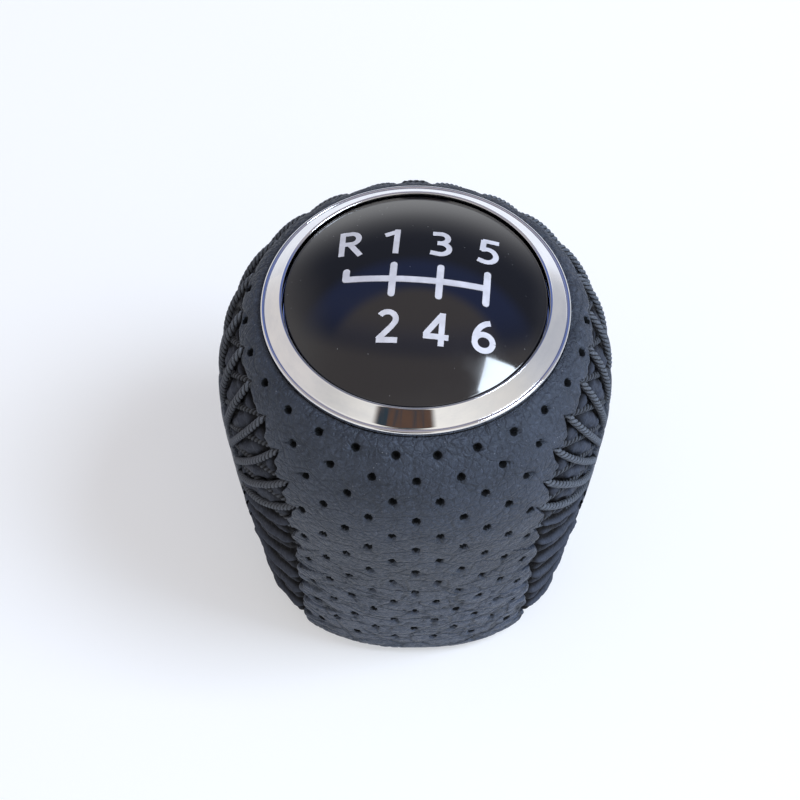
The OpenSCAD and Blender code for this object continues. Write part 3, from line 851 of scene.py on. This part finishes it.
NUMERALS = {
    "R": [[(0.12, 0.0), (0.09, 0.98)],
          [(0.09, 0.91), (0.35, 0.92)] + arc(0.35, 0.70, 0.21, 0.22, 90, -90) + [(0.12, 0.47)],
          [(0.30, 0.50), (0.66, 0.0)]],
    "1": [[(0.36, 0.0), (0.36, 1.0)], [(0.42, 0.93), (0.02, 0.74)]],
    "2": [arc(0.30, 0.70, 0.235, 0.225, 150, -18) + [(0.42, 0.47), (0.08, 0.09)],
          [(0.04, 0.08), (0.62, 0.08)]],
    "3": [[(0.05, 0.90)] + arc(0.27, 0.715, 0.22, 0.20, 78, -90),
          [(0.20, 0.515), (0.30, 0.515)] + arc(0.29, 0.295, 0.26, 0.22, 86, -108) + [(0.02, 0.12)]],
    "4": [[(0.50, 0.0), (0.50, 0.99)], [(0.50, 0.95), (0.055, 0.30)], [(0.0, 0.265), (0.70, 0.265)]],
    "5": [[(0.60, 0.92), (0.14, 0.92)], [(0.17, 0.95), (0.14, 0.50)],
          [(0.10, 0.54), (0.26, 0.585)] + arc(0.27, 0.325, 0.265, 0.26, 84, -105) + [(0.02, 0.13)]],
    "6": [arc(0.34, 0.31, 0.25, 0.235, 0, 360, 28), arc(0.56, 0.36, 0.47, 0.56, 98, 182)],
}
print("numerals:", " ".join(NUMERALS))

# %% [markdown]
# A stroke is a narrow grid whose two rows follow the pen's path on its left and on its right.
# The numbers keep their places of the pattern, the whole pattern is turned a little with the
# cap, and every point is then raised onto the dome, just above its face.

# %% Numbers laid on the dome
NUMBER_H, NUMBER_W = 4.15, 0.66
PEN = 0.165
STRAIGHT_STEPS = 6
CAP_TURN = math.radians(-4.6)
PRINT_RISE = 0.06
NUMBER_PLACES = {"R": (-8.2, 5.75), "1": (-2.85, 5.95), "3": (2.6, 5.95), "5": (8.15, 5.85),
                 "2": (-2.75, -6.35), "4": (2.7, -6.35), "6": (8.2, -6.35)}


def pen_stroke(path, place):
    """One stroke of the pen, as a strip of faces laid on the dome."""
    path = np.array(path, dtype=float)
    if len(path) == 2:
        path = np.linspace(*path, STRAIGHT_STEPS)
    along = np.gradient(path, axis=0)
    along /= np.linalg.norm(along, axis=1)[:, None]
    left = np.stack([-along[:, 1], along[:, 0]], axis=1) * PEN / 2
    bm, a, b = grid_numbers(len(path) - 1, 1)
    i = np.rint(a * (len(path) - 1)).astype(int)
    flat = np.where((b > 0.5)[:, None], path[i] + left[i], path[i] - left[i])
    x = place[0] + (flat[:, 0] - NUMBER_W / 2) * NUMBER_H
    y = place[1] + (flat[:, 1] - 0.5) * NUMBER_H
    turned_x = x * math.cos(CAP_TURN) - y * math.sin(CAP_TURN)
    turned_y = x * math.sin(CAP_TURN) + y * math.cos(CAP_TURN)
    z = DOME_CENTRE + np.sqrt((DOME_R + PRINT_RISE) ** 2 - turned_x ** 2 - turned_y ** 2)
    move_vertices(bm, np.stack([turned_x, turned_y, z], axis=1))
    return bm


print_mesh = bmesh.new()
for glyph, strokes in NUMERALS.items():
    for stroke in strokes:
        pour(pen_stroke(stroke, NUMBER_PLACES[glyph]), print_mesh)
for face in print_mesh.faces:
    if face.normal.z < 0:
        face.normal_flip()
numbers = finish_piece(print_mesh, "shift_numbers", smooth=False)

# %% [markdown]
# Each finish is a Principled material whose colour, roughness and bump come from noise and
# cell textures on Object coordinates, so that nothing is one flat colour. Writing every node
# by hand would hide the idea of a finish, so these helpers make a node and link it at once.

# %% Helpers for values and sums
def node(tree, kind, **settings):
    """A new node, with attributes and unlinked input values set by name."""
    made = tree.nodes.new(kind)
    for key, value in settings.items():
        if hasattr(made, key):
            setattr(made, key, value)
        else:
            made.inputs[key.replace("_", " ")].default_value = value
    return made


def put(tree, value, socket):
    """Gives an input its value: a number, a colour, or another node's output to be linked."""
    if isinstance(value, bpy.types.NodeSocket):
        tree.links.new(value, socket)
    elif isinstance(value, tuple):
        socket.default_value = (*value, 1)
    else:
        socket.default_value = value


def arithmetic(tree, operation, *values, clamp=False):
    """One Math node, whose values are numbers or other nodes' outputs."""
    made = node(tree, "ShaderNodeMath", operation=operation, use_clamp=clamp)
    for value, socket in zip(values, made.inputs):
        put(tree, value, socket)
    return made.outputs[0]


def ramp(tree, value, low, high, out_low=0.0, out_high=1.0):
    """A smooth change from out_low to out_high as a value goes from low to high."""
    made = node(tree, "ShaderNodeMapRange", interpolation_type="SMOOTHSTEP",
                From_Min=low, From_Max=high, To_Min=out_low, To_Max=out_high)
    put(tree, value, made.inputs["Value"])
    return made.outputs["Result"]


def blend_colours(tree, mask, first, second):
    """A colour between two, by a mask. Each colour is a tuple or an output."""
    made = node(tree, "ShaderNodeMix", data_type="RGBA")
    put(tree, mask, made.inputs["Factor"])
    put(tree, first, made.inputs[6])
    put(tree, second, made.inputs[7])
    return made.outputs[2]


# %% [markdown]
# Textures need places. Object coordinates stay with the object wherever it moves, and since
# every piece here has its origin at the knob's base, one scale suits them all. The attributes
# that were stored with the meshes are read by name.

# %% Helpers for textures
def object_place(tree):
    return node(tree, "ShaderNodeTexCoord").outputs["Object"]


def height_above_table(tree, place):
    split = node(tree, "ShaderNodeSeparateXYZ")
    put(tree, place, split.inputs[0])
    return split.outputs["Z"]


def attribute(tree, name):
    return node(tree, "ShaderNodeAttribute", attribute_name=name).outputs["Fac"]


def stretched(tree, vector, scale):
    made = node(tree, "ShaderNodeMapping", Scale=scale)
    put(tree, vector, made.inputs["Vector"])
    return made.outputs["Vector"]


def noise_texture(tree, vector, scale, detail=2.0, rough=0.5):
    """Soft noise as a texture node, whose outputs are Fac and Color."""
    made = node(tree, "ShaderNodeTexNoise", Scale=scale, Detail=detail, Roughness=rough)
    put(tree, vector, made.inputs["Vector"])
    return made


def cells(tree, vector, scale, feature="DISTANCE_TO_EDGE"):
    """Distance to the edge, or with F1 to the middle, of the cells of a cell texture."""
    made = node(tree, "ShaderNodeTexVoronoi", feature=feature)
    put(tree, vector, made.inputs["Vector"])
    put(tree, scale, made.inputs["Scale"])
    return made.outputs["Distance"]


# %% [markdown]
# Two effects serve more than one finish, the grain of leather and fine dust, and so they are
# node groups. A group gives only values that vary. The Principled shader stays in each
# material, where it can be seen and changed.

# %% Helpers for groups and materials
COAT_ROUGHNESS = 0.05


def new_group(name, inputs, outputs):
    """An empty node group with float inputs, given with their defaults, and float outputs."""
    tree = bpy.data.node_groups.new(name, "ShaderNodeTree")
    for key, value in inputs.items():
        socket = tree.interface.new_socket(name=key, in_out="INPUT", socket_type="NodeSocketFloat")
        socket.default_value = value
    for key in outputs:
        tree.interface.new_socket(name=key, in_out="OUTPUT", socket_type="NodeSocketFloat")
    return tree, node(tree, "NodeGroupInput").outputs, node(tree, "NodeGroupOutput").inputs


def use_group(tree, group, **values):
    """The outputs of a group, with its inputs given by name."""
    made = node(tree, "ShaderNodeGroup", node_tree=group)
    for key, value in values.items():
        put(tree, value, made.inputs[key])
    return made.outputs


def new_material(name, colour, roughness, metallic=0.0, coat=0.0, specular=0.5):
    """A Principled material, its node tree and the inputs of its shader."""
    material = bpy.data.materials.new(name)
    material.use_nodes = True
    sockets = material.node_tree.nodes["Principled BSDF"].inputs
    settings = {"Base Color": (*colour, 1), "Roughness": roughness, "Metallic": metallic, "Coat Weight": coat,
                "Coat Roughness": COAT_ROUGHNESS, "Specular IOR Level": specular}
    for key, value in settings.items():
        sockets[key].default_value = value
    return material, material.node_tree, sockets


def bump(tree, sockets, height, distance):
    made = node(tree, "ShaderNodeBump", Strength=1.0, Distance=distance)
    put(tree, height, made.inputs["Height"])
    put(tree, made.outputs["Normal"], sockets["Normal"])


# %% [markdown]
# Leather grain is a net of fine creases round small pebbles. A cell texture gives the net,
# and soft noise bends it first, so that it doesn't look like a honeycomb. Where the leather is
# pushed together, larger creases join the fine ones, and the Coarse input brings them in.

# %% The grain of leather
grain_group, given, result = new_group(
    "leather_grain", {"Pebble": 1000.0, "Coarse": 1.0}, ("Height", "Crease"))
place = object_place(grain_group)
push = node(grain_group, "ShaderNodeVectorMath", operation="SCALE")
push.inputs["Scale"].default_value = 0.9 * MM
put(grain_group, noise_texture(grain_group, place, 700, 3).outputs["Color"], push.inputs[0])
bent = node(grain_group, "ShaderNodeVectorMath", operation="ADD")
put(grain_group, place, bent.inputs[0])
put(grain_group, push.outputs[0], bent.inputs[1])
pebble = ramp(grain_group, cells(grain_group, bent.outputs[0], given["Pebble"]), 0.0, 0.22)
wide = stretched(grain_group, bent.outputs[0], (0.7, 0.7, 1.25))
coarse = ramp(grain_group, cells(grain_group, wide, 290), 0.0, 0.08)
gap = arithmetic(grain_group, "SUBTRACT", 1.0, coarse)
coarse_gap = arithmetic(grain_group, "MULTIPLY", gap, given["Coarse"])
skin = noise_texture(grain_group, place, 5200, 3, 0.6).outputs["Fac"]
height = arithmetic(grain_group, "MULTIPLY_ADD", pebble, 0.2, arithmetic(grain_group, "MULTIPLY", skin, 0.3))
height = arithmetic(grain_group, "SUBTRACT", height, arithmetic(grain_group, "MULTIPLY", coarse_gap, 0.6))
crease = arithmetic(grain_group, "MULTIPLY_ADD", arithmetic(grain_group, "SUBTRACT", 1.0, pebble), 0.16,
                    arithmetic(grain_group, "MULTIPLY", coarse_gap, 0.42), clamp=True)
put(grain_group, height, result["Height"])
put(grain_group, crease, result["Crease"])
print("leather grain has", len(grain_group.nodes), "nodes")

# %% [markdown]
# Dust is a scatter of small specks. A cell texture makes one point a cell, and only points that
# a second, slower noise picks are kept, so that the specks stand at uneven distances.

# %% Fine dust
dust_group, given, result = new_group("fine_dust", {"Cell": 900.0, "Size": 0.08}, ("Specks",))
place = object_place(dust_group)
near = arithmetic(dust_group, "LESS_THAN", cells(dust_group, place, given["Cell"], "F1"), given["Size"])
pick = ramp(dust_group, noise_texture(dust_group, place, 420, 1).outputs["Fac"], 0.52, 0.6)
put(dust_group, arithmetic(dust_group, "MULTIPLY", near, pick), result["Specks"])
print("fine dust has", len(dust_group.nodes), "nodes")

# %% [markdown]
# The panels are matte dark leather with a cool tint, mottled, and painted lighter near the base
# for the light that the creased leather catches there. The attributes that came with the mesh do
# the rest: a crease and the cut edge get painted shade, and a hole is painted black as shade and
# is dull inside.

# %% Panel leather
# painted shade for the creases
CREASE_SHADE = (0.006, 0.007, 0.01)
panel_leather, tree, shader = new_material("panel_leather", (0.03, 0.036, 0.05), 0.48, specular=0.42)
place = object_place(tree)
z = height_above_table(tree, place)
lower = ramp(tree, z, 0.014, 0.04, 1.0, 0.35)
grain = use_group(tree, grain_group, Pebble=1050.0, Coarse=lower)
dust = use_group(tree, dust_group, Cell=1400.0, Size=0.1)
patches = noise_texture(tree, place, 170, 4, 0.6).outputs["Fac"]
mottle = noise_texture(tree, place, 2100, 3, 0.7).outputs["Fac"]
# painted shade: the inside of a hole is painted near black; it is also made dull
inside_hole = ramp(tree, attribute(tree, "from_hole"), HOLE_R, 1.2 * HOLE_R, 1.0, 0.0)
# painted light: the leather near the base is painted lighter for the light it catches there
painted_low_light = arithmetic(tree, "MULTIPLY", lower, ramp(tree, z, 0.01, 0.03, 0.7, 0.0))
base = blend_colours(tree, ramp(tree, patches, 0.3, 0.7), (0.023, 0.027, 0.039), (0.037, 0.044, 0.063))
for mask, colour in (
        (painted_low_light, (0.07, 0.084, 0.122)),
        (ramp(tree, mottle, 0.5, 0.72, 0.0, 0.6), (0.075, 0.088, 0.125)),
        # painted shade in the grain's creases and in the relief's creases
        (grain["Crease"], CREASE_SHADE),
        (ramp(tree, attribute(tree, "crease"), 0.1, 1.0, 0.0, 0.8), CREASE_SHADE),
        # painted shade on the cut edge, where it turns down into the seam
        (ramp(tree, attribute(tree, "from_edge"), -0.9, 0.5, 0.85, 0.0), (0.004, 0.004, 0.005)),
        (arithmetic(tree, "MULTIPLY", dust["Specks"], 0.55), (0.25, 0.26, 0.3)),
        (inside_hole, (0.0015, 0.0015, 0.002))):
    base = blend_colours(tree, mask, base, colour)
put(tree, base, shader["Base Color"])
put(tree, (0.78, 0.88, 1.0), shader["Specular Tint"])
rough = ramp(tree, noise_texture(tree, place, 2600, 2).outputs["Fac"], 0.3, 0.7, 0.4, 0.56)
put(tree, arithmetic(tree, "MAXIMUM", rough, inside_hole), shader["Roughness"])
bump(tree, shader, grain["Height"], 0.35 * MM)
print("panel leather has", len(tree.nodes), "nodes")

# %% [markdown]
# The strip's leather is the same, but thinner, duller and without dust in its folds. The
# stored depth of each vertex paints shade into the valleys, where little light comes, and the
# grain's creases get painted shade too.

# %% Strip leather
strip_leather, tree, shader = new_material("strip_leather", (0.025, 0.027, 0.033), 0.75, specular=0.2)
place = object_place(tree)
grain = use_group(tree, grain_group, Pebble=1500.0, Coarse=0.35)
# painted shade: the deeper a vertex of the strip lies, the darker it is painted
base = blend_colours(tree, ramp(tree, attribute(tree, "valley"), 0.2, 0.8),
                     (0.05, 0.057, 0.078), (0.002, 0.002, 0.003))
# painted shade in the grain's creases
put(tree, blend_colours(tree, grain["Crease"], base, (0.006, 0.006, 0.008)), shader["Base Color"])
uneven = noise_texture(tree, place, 2400, 2).outputs["Fac"]
put(tree, ramp(tree, uneven, 0.3, 0.7, 0.65, 0.85), shader["Roughness"])
bump(tree, shader, grain["Height"], 0.14 * MM)
print("strip leather has", len(tree.nodes), "nodes")

# %% [markdown]
# The thread is matte, with fine fibres. It is lighter on the upper half of the knob and darker
# low down. The ply attribute paints shade into the valleys of the twist.

# %% Thread
thread, tree, shader = new_material("thread", (0.05, 0.052, 0.06), 0.7, specular=0.4)
place = object_place(tree)
higher_up = ramp(tree, height_above_table(tree, place), 0.022, 0.032)
fibre = noise_texture(tree, stretched(tree, place, (1, 1, 2.5)), 6500, 3, 0.7).outputs["Fac"]
base = blend_colours(tree, ramp(tree, fibre, 0.35, 0.65), (0.058, 0.065, 0.082), (0.165, 0.18, 0.21))
base = blend_colours(tree, higher_up, (0.02, 0.022, 0.028), base)
# painted shade in the valleys of the twist, more of it on the threads underneath
put(tree, blend_colours(tree, ramp(tree, attribute(tree, "ply"), 0.25, 0.8), (0.006, 0.006, 0.008), base),
    shader["Base Color"])
put(tree, ramp(tree, fibre, 0.3, 0.7, 0.7, 0.9), shader["Roughness"])
bump(tree, shader, fibre, 0.1 * MM)
print("thread has", len(tree.nodes), "nodes")

# %% [markdown]
# The ring is plated and polished. Real plating is never a perfect mirror: faint smears change
# its roughness from place to place, and that is what the noise does here.

# %% Bright plating
bright_plating, tree, shader = new_material("bright_plating", (0.86, 0.87, 0.89), 0.05, metallic=1.0)
smear = noise_texture(tree, stretched(tree, object_place(tree), (1, 1, 3)), 260, 4, 0.6).outputs["Fac"]
put(tree, ramp(tree, smear, 0.35, 0.8, 0.025, 0.1), shader["Roughness"])
put(tree, blend_colours(tree, ramp(tree, smear, 0.3, 0.7), (0.9, 0.9, 0.91), (0.82, 0.83, 0.86)),
    shader["Base Color"])
print("bright plating has", len(tree.nodes), "nodes")

# %% [markdown]
# The cap is black plastic under a clear, hard coat. A coat of its own is better than low
# roughness alone, because the smears then lie under a sharp reflection, as they do in life.

# %% Gloss cap
gloss_black, tree, shader = new_material("gloss_black", (0.006, 0.006, 0.008), 0.12, coat=1.0)
place = object_place(tree)
dust = use_group(tree, dust_group, Cell=1100.0, Size=0.055)
put(tree, blend_colours(tree, dust["Specks"], (0.005, 0.005, 0.007), (0.2, 0.2, 0.2)), shader["Base Color"])
smear = noise_texture(tree, place, 140, 4, 0.6).outputs["Fac"]
put(tree, ramp(tree, smear, 0.4, 0.8, 0.06, 0.2), shader["Roughness"])
print("gloss cap has", len(tree.nodes), "nodes")

# %% [markdown]
# The print is light ink. It covers a little unevenly, and it has a thin clear coat like the
# cap round it, so that the same reflections cross it.

# %% Printed ink
printed_ink, tree, shader = new_material("printed_ink", (0.64, 0.63, 0.69), 0.4, coat=0.5)
cover = noise_texture(tree, object_place(tree), 900, 3).outputs["Fac"]
put(tree, blend_colours(tree, ramp(tree, cover, 0.3, 0.7), (0.58, 0.57, 0.62), (0.68, 0.67, 0.73)),
    shader["Base Color"])
put(tree, ramp(tree, cover, 0.3, 0.7, 0.35, 0.5), shader["Roughness"])
print("printed ink has", len(tree.nodes), "nodes")

# %% [markdown]
# The inner pieces show only from below. The core and the collar are grained mouldings, the
# sleeve is glass-filled plastic with faint flow lines, and the spring is rolled steel strip.
# They differ only in their numbers, so one function makes all four.

# %% Mouldings and spring
def moulding(name, dark, light, roughness, scale, depth, stretch=(1, 1, 1), metallic=0.0):
    """A material with its own grain, in two shades."""
    material, tree, shader = new_material(name, dark, roughness, metallic=metallic)
    grains = noise_texture(tree, stretched(tree, object_place(tree), stretch), scale, 4, 0.6).outputs["Fac"]
    put(tree, blend_colours(tree, ramp(tree, grains, 0.3, 0.7), dark, light), shader["Base Color"])
    put(tree, ramp(tree, grains, 0.3, 0.7, roughness - 0.08, roughness + 0.08), shader["Roughness"])
    bump(tree, shader, grains, depth * MM)
    return material


core_plastic = moulding("core_plastic", (0.09, 0.09, 0.1), (0.12, 0.12, 0.13), 0.6, 1500, 0.05)
collar_plastic = moulding("collar_plastic", (0.024, 0.024, 0.027), (0.036, 0.036, 0.04), 0.5, 2800, 0.08)
sleeve_plastic = moulding("sleeve_plastic", (0.04, 0.04, 0.044), (0.06, 0.06, 0.066), 0.42, 600, 0.04,
                          stretch=(3, 3, 0.4))
spring_steel = moulding("spring_steel", (0.5, 0.5, 0.52), (0.62, 0.62, 0.64), 0.3, 900, 0.02,
                        stretch=(0.3, 0.3, 8), metallic=1.0)
print(len(bpy.data.materials), "materials are ready")

# %% [markdown]
# Now each piece is tied to the frame. A knob has no moving parts, so every piece rides on the
# one body, root. A detailed piece hides the CAD node that it stands for, and every piece gets its
# finish. The numbers replace nothing.

# %% Ride, replace and finish
def dress(piece, material, slot_name, *nodes_replaced):
    """Ties a new piece to the frame and gives it its finish."""
    piece.data.materials.append(material)
    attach(piece, "root")
    if nodes_replaced:
        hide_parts(*nodes_replaced)


dress(front_leather, panel_leather, "panel_leather", "front_leather")
dress(rear_leather, panel_leather, "panel_leather", "rear_leather")
dress(seam_leather, strip_leather, "strip_leather", "seam_strip")
dress(lacing_over, thread, "thread", "lacing_over")
dress(lacing_under, thread, "thread", "lacing_under")
dress(ring, bright_plating, "bright_trim", "trim_ring")
dress(cap, gloss_black, "gloss_cap", "cap")
dress(numbers, printed_ink, "white_print")

kept_nodes = {"core": core_plastic, "lever_sleeve": sleeve_plastic, "grip_spring": spring_steel,
              "base_collar": collar_plastic, "gate_print": printed_ink}
for node_name, material in kept_nodes.items():
    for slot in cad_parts[node_name].material_slots:
        slot.material = material
print(len(kept_nodes), "CAD nodes keep their shapes")

# %% [markdown]
# The knob stands on a plain table, which is white in the picture. Lighting a pale grey up to
# white would bleach the knob too. So the table glows a little, and the glow is seen only by
# the camera and in gloss and glass. It doesn't light the knob, and the shadow stays.

# %% Table
TABLE_SIZE = 1.5
TABLE_GLOW = 0.42

bm = bmesh.new()
bmesh.ops.create_grid(bm, x_segments=1, y_segments=1, size=TABLE_SIZE)
table = finish_piece(bm, "table", smooth=False)
white, tree, shader = new_material("white_table", (0.59, 0.595, 0.61), 0.6, specular=0.2)
faint = noise_texture(tree, object_place(tree), 9, 2).outputs["Fac"]
put(tree, blend_colours(tree, faint, (0.58, 0.585, 0.6), (0.6, 0.605, 0.62)), shader["Base Color"])
rays = node(tree, "ShaderNodeLightPath").outputs
seen = arithmetic(tree, "MAXIMUM", rays["Is Camera Ray"], rays["Is Glossy Ray"])
seen = arithmetic(tree, "MAXIMUM", seen, rays["Is Transmission Ray"])
put(tree, (0.96, 0.965, 0.98), shader["Emission Color"])
put(tree, arithmetic(tree, "MULTIPLY", seen, TABLE_GLOW), shader["Emission Strength"])
table.data.materials.append(white)

# %% [markdown]
# The room is a soft glow from every side, but gloss needs something to reflect, so it isn't
# even. The walls and the ceiling are greyer, and it is dark above and behind the knob, with a
# blue band that the cap shows. A dark patch in front of the knob gives the ring its brown and
# black reflection. Each part of the room is a mask over the directions that face it.

# %% The room
ROOM_STRENGTH = 1.05
GREY_CEILING = (0.42, 0.38, 0.37)

world = bpy.data.worlds.new("soft_room")
bpy.context.scene.world = world
world.use_nodes = True
tree = world.node_tree
direction = node(tree, "ShaderNodeTexCoord").outputs["Generated"]


def facing(vector, low, high):
    """A mask that rises from 0 to 1 as the looked-at direction turns towards a vector."""
    made = node(tree, "ShaderNodeVectorMath", operation="DOT_PRODUCT")
    put(tree, direction, made.inputs[0])
    made.inputs[1].default_value = Vector(vector).normalized()
    return ramp(tree, made.outputs["Value"], low, high)


UP, BEHIND, BEFORE = (0, 0, 1), (0.05, 0.8, 0.6), (0.1, -1, 0.1)
LEFT, RIGHT, PATCH = (-1, 0.2, 0.1), (1, 0.3, 0.05), (-0.098, -0.7, 0.707)
dark_end = arithmetic(tree, "MULTIPLY", facing(BEHIND, 0.6, 0.75), facing(UP, 0.04, 0.52))
band = arithmetic(tree, "MULTIPLY", facing(BEHIND, 0.6, 0.85), facing(UP, 0.62, 0.72))
over_band = arithmetic(tree, "MULTIPLY", band, facing(UP, 0.8, 0.86))
horizon = arithmetic(tree, "SUBTRACT", 1.0, facing(UP, -0.05, 0.3))
shades = noise_texture(tree, direction, 9, 3, 0.6).outputs["Fac"]
dark_front = blend_colours(tree, ramp(tree, shades, 0.42, 0.6), (0.03, 0.045, 0.06), (0.1, 0.06, 0.045))

room = (0.95, 0.96, 1.0)
for mask, colour in (
        (facing(UP, 0.1, 0.65), (0.55, 0.54, 0.53)),
        (facing(UP, 0.5, 0.95), GREY_CEILING),
        (facing(BEFORE, 0.2, 0.85), (0.9, 0.88, 0.84)),
        (dark_end, (0.1, 0.11, 0.15)),
        (band, (0.12, 0.17, 0.42)),
        (over_band, GREY_CEILING),
        (horizon, (0.92, 0.94, 0.97)),
        (facing(LEFT, 0.6, 0.95), (0.66, 0.63, 0.62)),
        (facing(RIGHT, 0.75, 0.95), (0.5, 0.51, 0.55)),
        (facing(PATCH, 0.957, 0.975), dark_front)):
    room = blend_colours(tree, mask, room, colour)
put(tree, room, tree.nodes["Background"].inputs["Color"])
tree.nodes["Background"].inputs["Strength"].default_value = ROOM_STRENGTH
print("the room has", len(tree.nodes), "nodes")

# %% [markdown]
# A window high on the right gives the bright patch on the cap and a soft shadow to the left. A
# wall beyond, low on the right, sends back some cool light, which only dull surfaces show. In
# gloss it would be one bright shape too many, so glossy rays don't see it.

# %% Lamps
LIT_PLACE = Vector((0, 0, 0.03))


def soft_lamp(name, place, size, watts, colour):
    """A rectangular lamp that is turned towards the knob."""
    data = bpy.data.lights.new(name, "AREA")
    data.shape = "RECTANGLE"
    data.size, data.size_y = size
    data.energy = watts
    data.color = colour
    lamp = bpy.data.objects.new(name, data)
    bpy.context.scene.collection.objects.link(lamp)
    lamp.location = place
    lamp.rotation_euler = (LIT_PLACE - Vector(place)).to_track_quat("-Z", "Y").to_euler()
    print(name, "gives", watts, "W")
    return lamp


soft_lamp("window", (0.56, -0.11, 0.79), (0.36, 0.4), 7.0, (0.76, 0.87, 1.0))
far_wall = soft_lamp("far_wall", (0.56, -0.2, 0.13), (0.3, 0.2), 1.5, (0.45, 0.68, 1.0))
far_wall.visible_glossy = False

# %% [markdown]
# The picture is shown through the Standard view transform.

# %% View transform
bpy.context.scene.view_settings.view_transform = "Standard"
